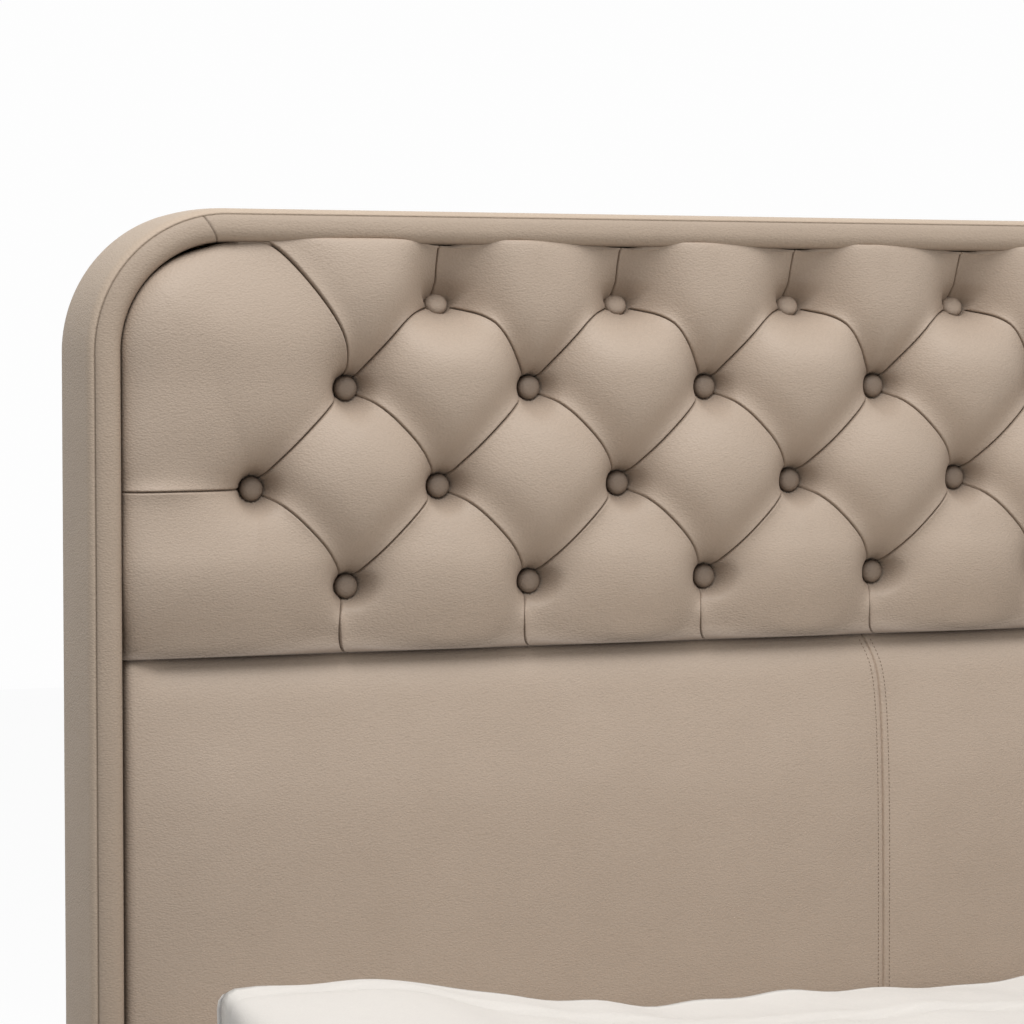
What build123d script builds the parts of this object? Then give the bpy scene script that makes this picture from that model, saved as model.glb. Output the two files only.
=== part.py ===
from build123d import *
import math
import os

os.makedirs("parts", exist_ok=True)

# Upholstered headboard bed for a 1500 x 2000 mattress, all sizes in millimetres.
# +X runs across the bed, +Y points to the headboard, +Z is up.
# The origin is on the floor, under the middle of the bed's outline.
# The headboard has a padded border, a deep diamond tufted band and a plain lower panel.

# ---- overall
bed_width = 1580.0
bed_length = 2150.0
headboard_height = 1250.0
headboard_depth = 100.0
corner_radius = 128.0

# ---- headboard layers, from the back forwards
leather = 1.2
frame_thick = 27.0
board_thick = 12.0
post_width = 86.0
post_glide_height = 10.0
post_glide_radius = 15.0
rail_height = 60.0
mid_rail_rise = 28.0
mid_rail_height = 90.0
low_rail_bottom = 200.0
low_rail_height = 130.0
tenon_thick = 9.0
tenon_length = 18.0
tenon_shoulder = 12.0
board_bottom = 75.0

# ---- border
border_width = 30.0
border_inner_round = 12.0
border_bottom = 40.0
border_wadding = 3.0
border_core_front = 15.0
border_core_side = 7.0
boxing_return = 18.0
facing_seam_inset = 100.0
facing_seam_slant = 30.6

# ---- tufted band
groove = 3.0
band_height = 398.0
band_edge_depth = 12.0
button_columns = 8
button_side_gap = 127.0
row_one_drop = 83.0
row_two_drop = 160.0
row_three_drop = 250.0
row_four_drop = 340.0
seat_depth = 46.0
top_seat_depth = 52.0
top_seat_tilt = 30.0
crown_rise = 20.0
pleat_lift = 28.0
pleat_rise = 8.0
side_pleat_lift = 22.0
rim_pleat_lift = 14.0
top_pleat_lift = 8.0
edge_swell = 8.0
pocket_radius = 12.0
button_radius = 11.25
button_rim = 2.5
button_dome = 4.0
twine_radius = 1.2
twine_clearance = 0.6

# ---- lower panel
lower_panel_depth = 15.0
lower_panel_bottom = 345.0
lower_panel_round = 10.0

# ---- side and foot rails
rail_bottom = 75.0
rail_top = 335.0
rail_core_thick = 22.0
rail_padding = 10.0
rail_cap = 5.0
rail_edge_round = 9.0
foot_corner_round = 30.0
foot_core_round = 20.0
head_gap = 0.3

# ---- corner hardware
anchor_width = 58.0
anchor_height = 215.0
bracket_thick = 4.0
bracket_leg = 60.0
bracket_height = 150.0
bolt_radius = 4.0
bolt_clearance = 0.3
bolt_head_radius = 7.0
bolt_head_height = 4.0
bolt_end_gap = 30.0
head_bolt_length = 95.0
side_bolt_length = 18.0
corner_block = 50.0
corner_block_gap = 5.0
stud_root = 1.0
foot_leg_radius = 24.0
foot_leg_taper = 17.0
foot_leg_glide = 4.0
leg_glide_inset = 1.0

# ---- slats and centre beam
slat_top = 299.7
slat_count = 14
slat_width = 63.0
slat_thick = 8.0
slat_bow = 9.0
slat_end_gap = 60.0
cap_length = 34.0
cap_wall = 2.0
cap_width = 70.0
ledger_width = 28.0
ledger_height = 30.0
beam_width = 80.0
beam_height = 50.0
hanger_thick = 3.0
hanger_depth = 40.0
centre_leg_count = 3
centre_leg_end_gap = 455.0
centre_leg_radius = 16.0
centre_leg_wall = 2.0
flange_size = 60.0
flange_thick = 3.0
plug_lip = 3.0
leveller_disc_height = 6.0
leveller_disc_radius = 17.5
leveller_rod_radius = 4.0
leveller_rod_length = 40.0
leveller_stop_gap = 0.3
leveller_thread_clearance = 0.1

# ---- mattress and bedding
mattress_height = 200.0
mattress_round = 22.0
mattress_side_gap = 8.0
mattress_head_gap = 10.0
mattress_foot_gap = 23.0
bedding_gap = 0.3
sheet_thick = 1.2
duvet_side_drop = 38.0
duvet_top_thick = 40.0
duvet_foot_drop = 42.0
duvet_head_gap = 365.0
duvet_hem_rise = 30.0
duvet_round = 26.0
fold_width = 330.0
fold_thick = 42.0

# ---- planes that follow from the sizes
half_width = bed_width / 2
y_back = bed_length / 2
y_front = y_back - headboard_depth
y_foot = -bed_length / 2
y_frame_back = y_back - leather
y_frame_front = y_frame_back - frame_thick
y_board_front = y_frame_front - board_thick
border_outer_round = border_width - border_inner_round
frame_inset = leather + border_wadding
groove_x = half_width - border_width
groove_z = headboard_height - border_width
pad_x = groove_x - groove
pad_top = groove_z - groove
pad_corner = corner_radius - border_width - groove
band_bottom = headboard_height - band_height
mid_rail_top = band_bottom + mid_rail_rise
facing_seam_x = half_width - facing_seam_inset
button_pitch = 2 * (pad_x - button_side_gap) / (button_columns - 1)
row_heights = {
    1: headboard_height - row_one_drop,
    2: headboard_height - row_two_drop,
    3: headboard_height - row_three_drop,
    4: headboard_height - row_four_drop,
}
mattress_bottom = slat_top + bedding_gap
y_seat = y_front + seat_depth
y_top_seat = y_front + top_seat_depth
y_crown = y_front - crown_rise
y_pad_edge = y_front + band_edge_depth
y_panel = y_front + lower_panel_depth
side_core_in = half_width - rail_padding - rail_core_thick
foot_inner_y = y_foot + rail_padding + rail_core_thick
diagonal_half = math.sqrt(0.5)

done = {}


def save(name, shape):
    shape.label = name
    export_step(shape, "parts/" + name + ".step")
    done[name] = shape


def block(x0, x1, y0, y1, z0, z1):
    low = (min(x0, x1), min(y0, y1), min(z0, z1))
    size = (abs(x1 - x0), abs(y1 - y0), abs(z1 - z0))
    return Pos(*low) * Box(*size, align=(Align.MIN, Align.MIN, Align.MIN))


def rod(start, axis, radius, length):
    plane = Plane(origin=start, z_dir=axis)
    return plane * Cylinder(radius, length, align=(Align.CENTER, Align.CENTER, Align.MIN))


def arch(inset, bottom, y_low, thick):
    """A slab with the headboard's rounded outline, set in by inset all round."""
    x = half_width - inset
    top = headboard_height - inset
    r = corner_radius - inset
    turn = r * (1 - diagonal_half)
    left = (
        Line((-x, y_low, bottom), (-x, y_low, top - r)),
        ThreePointArc((-x, y_low, top - r), (-x + turn, y_low, top - turn), (-x + r, y_low, top)),
    )
    right = (
        ThreePointArc((x - r, y_low, top), (x - turn, y_low, top - turn), (x, y_low, top - r)),
        Line((x, y_low, top - r), (x, y_low, bottom)),
    )
    across = Line((-x + r, y_low, top), (x - r, y_low, top))
    close = Line((x, y_low, bottom), (-x, y_low, bottom))
    edges = [piece.edge() for piece in (*left, across, *right, close)]
    return extrude(Face(Wire(edges)), amount=thick, dir=(0, 1, 0))


def both_sides(name, shape):
    save(name + "_left", shape)
    save(name + "_right", mirror(shape, Plane.YZ))


# ---- headboard frame: two posts, three rails let into them with tenons
post_in = half_width - frame_inset - post_width
post_blank = block(
    -half_width + frame_inset, -post_in, y_frame_front, y_frame_back, post_glide_height, headboard_height
)
post = post_blank & arch(frame_inset, post_glide_height, y_frame_front, frame_thick)
tenon_front = y_frame_front + (frame_thick - tenon_thick) / 2
rail_tops = {
    "headboard_top_rail": (headboard_height - frame_inset, rail_height),
    "headboard_mid_rail": (mid_rail_top, mid_rail_height),
    "headboard_low_rail": (low_rail_bottom + low_rail_height, low_rail_height),
}
for name, (top, height) in rail_tops.items():
    rail = block(-post_in, post_in, y_frame_front, y_frame_back, top - height, top)
    tenon = block(
        -post_in - tenon_length,
        post_in + tenon_length,
        tenon_front,
        tenon_front + tenon_thick,
        top - height + tenon_shoulder,
        top - tenon_shoulder,
    )
    post -= tenon
    rail = (rail + tenon) & arch(frame_inset, 0, y_frame_front, frame_thick)
    save(name, rail)

# ---- bolts through the head bracket, the anchor, the board and the post
anchor_out = side_core_in - bracket_thick
anchor_x = anchor_out - bracket_leg / 2
bracket_mid = (rail_bottom + rail_cap + rail_top - rail_cap) / 2
bolt_offset = bracket_height / 2 - bolt_end_gap
bolt_heights = (bracket_mid - bolt_offset, bracket_mid + bolt_offset)
head_bracket_y = y_front - bracket_thick
head_bolts = []
head_holes = []
for z in bolt_heights:
    start = (-anchor_x, head_bracket_y, z)
    head_bolts.append(rod(start, (0, 1, 0), bolt_radius, head_bolt_length))
    head_bolts.append(rod(start, (0, -1, 0), bolt_head_radius, bolt_head_height))
    head_holes.append(rod(start, (0, 1, 0), bolt_radius + bolt_clearance, head_bolt_length + 1))

post -= head_holes
both_sides("headboard_post", post)

glide_x = half_width - frame_inset - post_width / 2
glide_y = (y_frame_front + y_frame_back) / 2
glide_radius = min(post_glide_radius, frame_thick / 2)
glides = [rod((x, glide_y, 0), (0, 0, 1), glide_radius, post_glide_height) for x in (-glide_x, glide_x)]
save("headboard_post_glides", Compound(children=glides))

# ---- button grid
first_column = -button_pitch * (button_columns - 1) / 2
row_columns = {
    1: [k + 1.0 for k in range(button_columns - 2)],
    2: [k + 0.5 for k in range(button_columns - 1)],
    3: [k + 0.0 for k in range(button_columns)],
    4: [k + 0.5 for k in range(button_columns - 1)],
}


def button_at(row, column):
    y = y_top_seat if row == 1 else y_seat
    return Vector(first_column + button_pitch * column, y, row_heights[row])


def seat_plane(row, column):
    tilt = math.radians(top_seat_tilt if row == 1 else 0)
    return Plane(origin=button_at(row, column), x_dir=(1, 0, 0), z_dir=(0, -math.cos(tilt), math.sin(tilt)))


places = [(row, column) for row in row_columns for column in row_columns[row]]

# ---- the two boards behind the padding
twine_holes = []
for row, column in places:
    seat = button_at(row, column)
    start = (seat.X, seat.Y - 2 * twine_radius, seat.Z)
    twine_holes.append(rod(start, (0, 1, 0), twine_radius + twine_clearance, headboard_depth))
board = arch(frame_inset, band_bottom, y_board_front, board_thick)
save("tufting_board", board - twine_holes)
lower_board = block(
    -half_width + frame_inset,
    half_width - frame_inset,
    y_board_front,
    y_frame_front,
    board_bottom,
    band_bottom,
)
mirrored_holes = [mirror(hole, Plane.YZ) for hole in head_holes]
save("lower_board", lower_board - head_holes - mirrored_holes)

# ---- tufted pad: one smooth patch for each pillow, joined along shared pleats
# A patch is a biquadratic surface: four corners, a pull point for each side and one for its middle.
# Two neighbours share a pleat's three points, so they meet exactly along it.
corner_x = pad_x - pad_corner
corner_z = pad_top - pad_corner
half_arc_weight = math.cos(math.radians(22.5))


def pull(start, end, lift, rise=0.0, slide=0.0):
    """The pull point of a pleat whose middle stands out by lift, rise and slide."""
    return (start + end) / 2 + Vector(slide, -lift, rise) * 2


def diagonal(start, end):
    return pull(start, end, pleat_lift, pleat_rise)


def patch(corners, pulls, middle=None, crown_y=None, weights=(1, 1, 1, 1)):
    """Corners and pulls run round the patch; pulls[i] lies between corners[i] and corners[i + 1]."""
    a, b, c, d = corners
    ab, bc, cd, da = pulls
    if middle is None:
        ring = (a + b + c + d) / 16 + (ab + bc + cd + da) / 8
        level = (ab + bc + cd + da) / 4
        middle = Vector(level.X, 4 * (crown_y - ring.Y), level.Z)
    grid = [[a, ab, b], [da, middle, bc], [d, cd, c]]
    share = [[1, weights[0], 1], [weights[3], 1, weights[1]], [1, weights[2], 1]]
    return Face.make_bezier_surface(grid, share)


def bent(start, point, end):
    return Bezier(start, point, end).edge()


patches = []
for row in (2, 3):
    for column in row_columns[row - 1]:
        top = button_at(row - 1, column)
        left = button_at(row, column - 0.5)
        right = button_at(row, column + 0.5)
        low = button_at(row + 1, column)
        ring = [left, top, right, low]
        pulls = [diagonal(p, q) for p, q in zip(ring, ring[1:] + ring[:1])]
        patches.append(patch(ring, pulls, crown_y=y_crown))

# the cells along the bottom and top rims, each in two halves that meet at a smooth spine
rims = {"bottom": [], "top": []}
rim_z = {"bottom": band_bottom, "top": pad_top}
for side, row, apex_row, lift in (("bottom", 4, 3, rim_pleat_lift), ("top", 1, 2, top_pleat_lift)):
    z = rim_z[side]
    for column in row_columns[row][:-1]:
        apex = button_at(apex_row, column + 0.5)
        rim_middle = Vector(apex.X, y_pad_edge - edge_swell, z)
        spine = pull(apex, rim_middle, (apex.Y + rim_middle.Y) / 2 - y_crown)
        for step in (0, 1):
            button = button_at(row, column + step)
            rim = Vector(button.X, y_pad_edge, z)
            rim_pull = Vector((rim.X + apex.X) / 2, rim_middle.Y, z)
            pulls = [pull(rim, button, lift), diagonal(button, apex), spine, rim_pull]
            middle = Vector((button.X + apex.X) / 2, spine.Y, spine.Z)
            patches.append(patch([rim, button, apex, rim_middle], pulls, middle=middle))
            rims[side].append(bent(rim, rim_pull, rim_middle))

side_walls = []
back_rim = []
wall_shift = Vector(0, y_board_front - y_pad_edge, 0)


def backward(edge):
    """The wall that runs from a front edge straight back to the board."""
    behind = edge.moved(Location(wall_shift))
    back_rim.append(behind)
    return Face.make_surface_from_curves(edge, behind)


for sign in (-1, 1):
    last = button_columns - 1
    one, two, three, four = [
        button_at(row, column if sign < 0 else last - column)
        for row, column in ((1, 1), (2, 0.5), (3, 0), (4, 0.5))
    ]
    side = Vector(sign * pad_x, y_pad_edge, three.Z)
    foot = Vector(sign * pad_x, y_pad_edge, band_bottom)
    shoulder = Vector(sign * pad_x, y_pad_edge, corner_z)
    turn = Vector(sign * corner_x, y_pad_edge, pad_top)
    a = pad_corner * diagonal_half
    arc_middle = Vector(sign * (corner_x + a), y_pad_edge, corner_z + a)
    t = pad_corner * math.tan(math.radians(22.5))
    arc_low = Vector(sign * pad_x, y_pad_edge, corner_z + t)
    arc_high = Vector(sign * (corner_x + t), y_pad_edge, pad_top)
    level = pull(three, side, side_pleat_lift)
    crease = pull(two, turn, side_pleat_lift, pleat_rise, sign * pleat_rise)
    up = pull(side, shoulder, edge_swell)
    down = pull(foot, side, edge_swell)
    spine = pull(three, arc_middle, (three.Y + y_pad_edge) / 2 - y_crown)
    patches.append(
        patch(
            [three, side, shoulder, arc_middle],
            [level, up, arc_low, spine],
            crown_y=y_crown + edge_swell,
            weights=(1, 1, half_arc_weight, 1),
        )
    )
    patches.append(
        patch(
            [three, arc_middle, turn, two],
            [spine, arc_high, crease, diagonal(two, three)],
            crown_y=y_crown + edge_swell,
            weights=(1, half_arc_weight, 1, 1),
        )
    )
    above = Vector(one.X, y_pad_edge, pad_top)
    rim_top = pull(turn, above, edge_swell)
    pulls = [rim_top, pull(above, one, top_pleat_lift), diagonal(one, two), crease]
    patches.append(patch([turn, above, one, two], pulls, crown_y=y_crown + edge_swell))
    rims["top"].append(bent(turn, rim_top, above))
    below = Vector(four.X, y_pad_edge, band_bottom)
    low_middle = Vector((four.X + foot.X) / 2, y_pad_edge - edge_swell, band_bottom)
    near = Vector((below.X + low_middle.X) / 2, low_middle.Y, band_bottom)
    far = Vector((foot.X + low_middle.X) / 2, low_middle.Y, band_bottom)
    spine = pull(three, low_middle, (three.Y + low_middle.Y) / 2 - y_crown)
    ring = [three, side, foot, low_middle]
    patches.append(patch(ring, [level, down, far, spine], crown_y=y_crown + edge_swell))
    ring = [three, low_middle, below, four]
    pulls = [spine, near, pull(below, four, rim_pleat_lift), diagonal(four, three)]
    patches.append(patch(ring, pulls, crown_y=y_crown + edge_swell))
    rims["bottom"] += [bent(below, near, low_middle), bent(low_middle, far, foot)]
    foot_back = foot + wall_shift
    shoulder_back = shoulder + wall_shift
    wall_back = Line(foot_back, shoulder_back).edge()
    back_rim.append(wall_back)
    wall = [bent(side, up, shoulder), bent(foot, down, side), wall_back]
    wall += [Line(foot, foot_back).edge(), Line(shoulder, shoulder_back).edge()]
    side_walls.append(Face(Wire(wall)))
    for start, angle, end in ((shoulder, 22.5, arc_middle), (arc_middle, 67.5, turn)):
        a = math.radians(angle)
        x = sign * (corner_x + pad_corner * math.cos(a))
        z = corner_z + pad_corner * math.sin(a)
        side_walls.append(backward(ThreePointArc(start, Vector(x, y_pad_edge, z), end).edge()))

for side, x in (("bottom", pad_x), ("top", corner_x)):
    z = rim_z[side]
    ends = [Vector(-x, y_pad_edge, z), Vector(x, y_pad_edge, z)]
    backs = [end + wall_shift for end in ends]
    far_edge = Line(*backs).edge()
    back_rim.append(far_edge)
    returns = [Line(p, q).edge() for p, q in zip(ends, backs)]
    side_walls.append(Face(Wire(rims[side] + returns + [far_edge])))

pad_faces = patches + side_walls + [Face(Wire(back_rim))]
pad = Part(children=[Solid(Shell(Face.sew_faces(pad_faces)[0]))])
pockets = []
for row, column in places:
    pockets.append(rod(tuple(button_at(row, column)), seat_plane(row, column).z_dir, pocket_radius, headboard_depth))
pad -= pockets + twine_holes
save("tufted_pad", pad)

# ---- buttons with their twine, which is tied off at the back of the board
dome_sphere = (button_radius**2 + button_dome**2) / (2 * button_dome)
dome_middle = dome_sphere * math.sin(math.asin(button_radius / dome_sphere) / 2)
dome_rise = button_rim + button_dome - dome_sphere + math.sqrt(dome_sphere**2 - dome_middle**2)
button_outline = [
    Line((0, 0), (button_radius, 0)).edge(),
    Line((button_radius, 0), (button_radius, button_rim)).edge(),
    ThreePointArc(
        (button_radius, button_rim), (dome_middle, dome_rise), (0, button_rim + button_dome)
    ).edge(),
    Line((0, button_rim + button_dome), (0, 0)).edge(),
]
button_face = Plane.XZ * Face(Wire(button_outline))
button_blank = revolve(button_face, Axis.Z)
buttons = []
for row, column in places:
    seat = button_at(row, column)
    length = y_frame_front - seat.Y
    twine = rod((seat.X, seat.Y - 1, seat.Z), (0, 1, 0), twine_radius, length + 1)
    buttons.append(seat_plane(row, column) * button_blank + twine)
save("tuft_buttons", Compound(children=buttons))

# ---- lower panel: foam slab under two leather covers that meet at the centre seam
foam_x = pad_x - leather
foam = block(-foam_x, foam_x, y_panel + leather, y_board_front, lower_panel_bottom + leather, band_bottom)
front_sides = [e for e in foam.edges().filter_by(Axis.Z) if e.center().Y < y_panel + 2 * leather]
foam = fillet(front_sides, lower_panel_round)
save("lower_foam", foam)
skin = block(-pad_x, pad_x, y_panel, y_board_front, lower_panel_bottom, band_bottom)
skin_sides = [e for e in skin.edges().filter_by(Axis.Z) if e.center().Y < y_panel + leather]
skin = fillet(skin_sides, lower_panel_round + leather) - foam
both_sides("lower_cover", skin & block(-pad_x, 0, y_panel, y_board_front, 0, band_bottom))

# ---- border: one rounded section carried round the headboard's outline
inner_centre = y_front + border_inner_round
outer_centre = y_front + border_outer_round


def at(w, y):
    return Vector(-groove_x - w, y, border_bottom)


def inner_arc(t):
    r = border_inner_round - t
    k = r * diagonal_half
    middle = at(border_inner_round - k, inner_centre - k)
    return ThreePointArc(at(t, inner_centre), middle, at(border_inner_round, y_front + t)).edge()


def outer_point(t, angle):
    r = border_outer_round - t
    a = math.radians(angle)
    return at(border_inner_round + r * math.sin(a), outer_centre - r * math.cos(a))


def outer_arc(t, first, last):
    middle = outer_point(t, (first + last) / 2)
    return ThreePointArc(outer_point(t, first), middle, outer_point(t, last)).edge()


def chain(points):
    return [Line(a, b).edge() for a, b in zip(points[:-1], points[1:])]


path_turn = (corner_radius - border_width) * (1 - diagonal_half)
path_r = corner_radius - border_width
path_edges = [
    Line((-groove_x, 0, border_bottom), (-groove_x, 0, groove_z - path_r)),
    ThreePointArc(
        (-groove_x, 0, groove_z - path_r),
        (-groove_x + path_turn, 0, groove_z - path_turn),
        (-groove_x + path_r, 0, groove_z),
    ),
    Line((-groove_x + path_r, 0, groove_z), (groove_x - path_r, 0, groove_z)),
    ThreePointArc(
        (groove_x - path_r, 0, groove_z),
        (groove_x - path_turn, 0, groove_z - path_turn),
        (groove_x, 0, groove_z - path_r),
    ),
    Line((groove_x, 0, groove_z - path_r), (groove_x, 0, border_bottom)),
]
border_path = Wire([edge.edge() for edge in path_edges])


def round_the_outline(edges):
    return sweep(Face(Wire(edges)), path=border_path)


wall_w = border_width - frame_inset
core_y = y_front + border_core_front
core_points = [
    at(border_core_side, y_board_front),
    at(border_core_side, core_y),
    at(wall_w, core_y),
    at(wall_w, y_board_front),
    at(border_core_side, y_board_front),
]
save("border_core", round_the_outline(chain(core_points)))

under = leather
wadding_edges = [inner_arc(under), outer_arc(under, 0, 90)]
wadding_edges += chain(
    [
        outer_point(under, 90),
        at(border_width - under, y_frame_back),
        at(wall_w, y_frame_back),
        at(wall_w, core_y),
        at(border_core_side, core_y),
        at(border_core_side, y_board_front),
        at(under, y_board_front),
        at(under, inner_centre),
    ]
)
save("border_wadding", round_the_outline(wadding_edges))

facing_edges = [inner_arc(0), outer_arc(0, 0, 45), outer_arc(under, 0, 45), inner_arc(under)]
facing_edges += chain([outer_point(0, 45), outer_point(under, 45)])
facing_edges += chain(
    [at(under, inner_centre), at(under, y_board_front), at(0, y_board_front), at(0, inner_centre)]
)
facing = round_the_outline(facing_edges)
slant = math.radians(facing_seam_slant)
seam_point = (-facing_seam_x, y_front, headboard_height)
seam_left = Plane(origin=seam_point, z_dir=(math.cos(slant), 0, math.sin(slant)))
seam_right = Plane(
    origin=(facing_seam_x, y_front, headboard_height), z_dir=(-math.cos(slant), 0, math.sin(slant))
)
both_sides("border_facing", split(facing, bisect_by=seam_left, keep=Keep.BOTTOM))
facing_top = split(facing, bisect_by=seam_left, keep=Keep.TOP)
save("border_facing_top", split(facing_top, bisect_by=seam_right, keep=Keep.TOP))

boxing_edges = [outer_arc(0, 45, 90), outer_arc(under, 45, 90)]
boxing_edges += chain([outer_point(0, 45), outer_point(under, 45)])
boxing_edges += chain(
    [
        outer_point(0, 90),
        at(border_width, y_back),
        at(border_width - boxing_return, y_back),
        at(border_width - boxing_return, y_frame_back),
        at(border_width - under, y_frame_back),
        outer_point(under, 90),
    ]
)
save("border_boxing", round_the_outline(boxing_edges))
save("headboard_back_cover", arch(boxing_return, board_bottom, y_frame_back, leather))

# ---- side rails, their covers and the head anchors
core_bottom = rail_bottom + rail_cap
core_top = rail_top - rail_cap
rail_end_y = y_front - head_gap
side_core_out = side_core_in + rail_core_thick
side_core = block(-side_core_out, -side_core_in, foot_inner_y, rail_end_y, core_bottom, core_top)
cover = block(-half_width, -side_core_in, foot_inner_y, rail_end_y, rail_bottom, rail_top)
outer_edges = [e for e in cover.edges().filter_by(Axis.Y) if e.center().X < -side_core_out]
cover = fillet(outer_edges, rail_edge_round) - side_core
anchor = block(
    -anchor_out, -anchor_out + anchor_width, y_front, y_board_front, core_bottom, core_bottom + anchor_height
)
both_sides("headboard_anchor", anchor - head_holes)

bracket_low = bracket_mid - bracket_height / 2
bracket_high = bracket_mid + bracket_height / 2
head_bracket = block(
    -side_core_in, -anchor_out, y_front - bracket_leg, y_front, bracket_low, bracket_high
) + block(-side_core_in, -anchor_out + bracket_leg, head_bracket_y, y_front, bracket_low, bracket_high)
foot_bracket_y = foot_inner_y + corner_block
side_bolts = []
side_holes = []
for z in bolt_heights:
    start = (-anchor_out, y_front - bracket_leg / 2 - bracket_thick, z)
    side_bolts.append(rod(start, (-1, 0, 0), bolt_radius, side_bolt_length))
    side_bolts.append(rod(start, (1, 0, 0), bolt_head_radius, bolt_head_height))
    side_holes.append(rod(start, (-1, 0, 0), bolt_radius + bolt_clearance, side_bolt_length + 1))
head_bracket -= head_holes + side_holes
both_sides("rail_bracket", head_bracket)
both_sides("side_rail", side_core - side_holes)
both_sides("side_rail_cover", cover)


def joined(shapes):
    """Each head with its shank as one bolt."""
    return [shank + head for shank, head in zip(shapes[0::2], shapes[1::2])]


bolts = joined(head_bolts) + joined(side_bolts)
bolts += [mirror(bolt, Plane.YZ) for bolt in bolts]
save("bracket_bolts", Compound(children=bolts))

# ---- foot rail, corner blocks and foot legs
foot_core = block(
    -side_core_out, side_core_out, y_foot + rail_padding, foot_inner_y, core_bottom, core_top
)
foot_posts = [e for e in foot_core.edges().filter_by(Axis.Z) if e.center().Y < foot_inner_y - 1]
foot_core = fillet(foot_posts, foot_core_round)
foot_cover = block(-half_width, half_width, y_foot, foot_inner_y, rail_bottom, rail_top)
cover_posts = [e for e in foot_cover.edges().filter_by(Axis.Z) if e.center().Y < foot_inner_y - 1]
foot_cover = fillet(cover_posts, foot_corner_round)
level_faces = foot_cover.faces().filter_by(Axis.Z)
rim_edges = [e for f in level_faces for e in f.edges() if e.center().Y < foot_inner_y - 1]
foot_cover = fillet(rim_edges, rail_edge_round) - foot_core
save("foot_rail", foot_core)
save("foot_rail_cover", foot_cover)

block_out = side_core_in
foot_block = block(
    -block_out,
    -block_out + corner_block,
    foot_inner_y,
    foot_bracket_y,
    core_bottom,
    mattress_bottom - corner_block_gap,
)
leg_x = block_out - corner_block / 2
leg_y = foot_inner_y + corner_block / 2
stud_radius = bolt_radius
stud_length = corner_block
foot_block -= rod((-leg_x, leg_y, core_bottom), (0, 0, 1), stud_radius + bolt_clearance, stud_length)
both_sides("foot_corner_block", foot_block)
leg = Pos(-leg_x, leg_y, foot_leg_glide) * Cone(
    foot_leg_taper,
    foot_leg_radius,
    core_bottom - foot_leg_glide,
    align=(Align.CENTER, Align.CENTER, Align.MIN),
)
leg += rod((-leg_x, leg_y, core_bottom - stud_root), (0, 0, 1), stud_radius, stud_length)
both_sides("foot_leg", leg)
leg_glides = []
for x in (-leg_x, leg_x):
    leg_glides.append(rod((x, leg_y, 0), (0, 0, 1), foot_leg_taper - leg_glide_inset, foot_leg_glide))
save("foot_leg_glides", Compound(children=leg_glides))

# ---- ledgers, centre beam and its hangers
cap_base = slat_top - slat_thick - slat_bow - cap_wall
ledger = block(
    -side_core_in,
    -side_core_in + ledger_width,
    foot_bracket_y,
    y_front - bracket_leg,
    cap_base - ledger_height,
    cap_base,
)
both_sides("slat_ledger", ledger)
beam_x = beam_width / 2
beam_foot_y = foot_inner_y + hanger_thick
beam_head_y = y_board_front - hanger_thick
beam = block(-beam_x, beam_x, beam_foot_y, beam_head_y, cap_base - beam_height, cap_base)
save("centre_beam", beam)
hangers = []
for wall_y, direction in ((foot_inner_y, 1), (y_board_front, -1)):
    outer = block(
        -beam_x - hanger_thick,
        beam_x + hanger_thick,
        wall_y,
        wall_y + direction * hanger_depth,
        cap_base - beam_height - hanger_thick,
        cap_base,
    )
    hangers.append(outer - beam)
save("beam_hangers", Compound(children=hangers))

# ---- centre legs with screw levellers
leg_pitch = (bed_length - 2 * centre_leg_end_gap) / (centre_leg_count - 1)
leg_places = [y_foot + centre_leg_end_gap + k * leg_pitch for k in range(centre_leg_count)]
plug_bottom = leveller_disc_height + leveller_stop_gap
tube_bottom = plug_bottom + plug_lip
tube_top = cap_base - beam_height - flange_thick
tubes = []
plugs = []
for number, y in enumerate(leg_places, start=1):
    tube = rod((0, y, tube_bottom), (0, 0, 1), centre_leg_radius, tube_top - tube_bottom)
    bore = rod((0, y, tube_bottom), (0, 0, 1), centre_leg_radius - centre_leg_wall, tube_top - tube_bottom)
    flange = block(
        -flange_size / 2, flange_size / 2, y - flange_size / 2, y + flange_size / 2, tube_top, tube_top + flange_thick
    )
    tubes.append(tube - bore + flange)
    plug = rod((0, y, plug_bottom), (0, 0, 1), centre_leg_radius, plug_lip)
    rod_top = leveller_disc_height + leveller_rod_length
    plug += rod((0, y, tube_bottom), (0, 0, 1), centre_leg_radius - centre_leg_wall, rod_top - tube_bottom)
    thread = rod((0, y, 0), (0, 0, 1), leveller_rod_radius + leveller_thread_clearance, rod_top + 1)
    plugs.append(plug - thread)
    foot = rod((0, y, 0), (0, 0, 1), leveller_disc_radius, leveller_disc_height)
    foot += rod((0, y, leveller_disc_height - 1), (0, 0, 1), leveller_rod_radius, leveller_rod_length)
    save("leveller_" + str(number), foot)
save("centre_legs", Compound(children=tubes))
save("centre_leg_plugs", Compound(children=plugs))

# ---- bowed slats in end caps, one row each side of the centre beam
cap_height = slat_thick + 2 * cap_wall
outer_end = side_core_in - cap_wall
inner_end = cap_wall
slat_span = outer_end - inner_end
slat_mid = (outer_end + inner_end) / 2
bow_radius = (slat_span**2 / 4 + slat_bow**2) / (2 * slat_bow)
low_z = cap_base + cap_wall


def bow(z):
    ends = [Vector(-outer_end, 0, z), Vector(-inner_end, 0, z)]
    return ThreePointArc(ends[0], Vector(-slat_mid, 0, z + slat_bow), ends[1]).edge()


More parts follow.
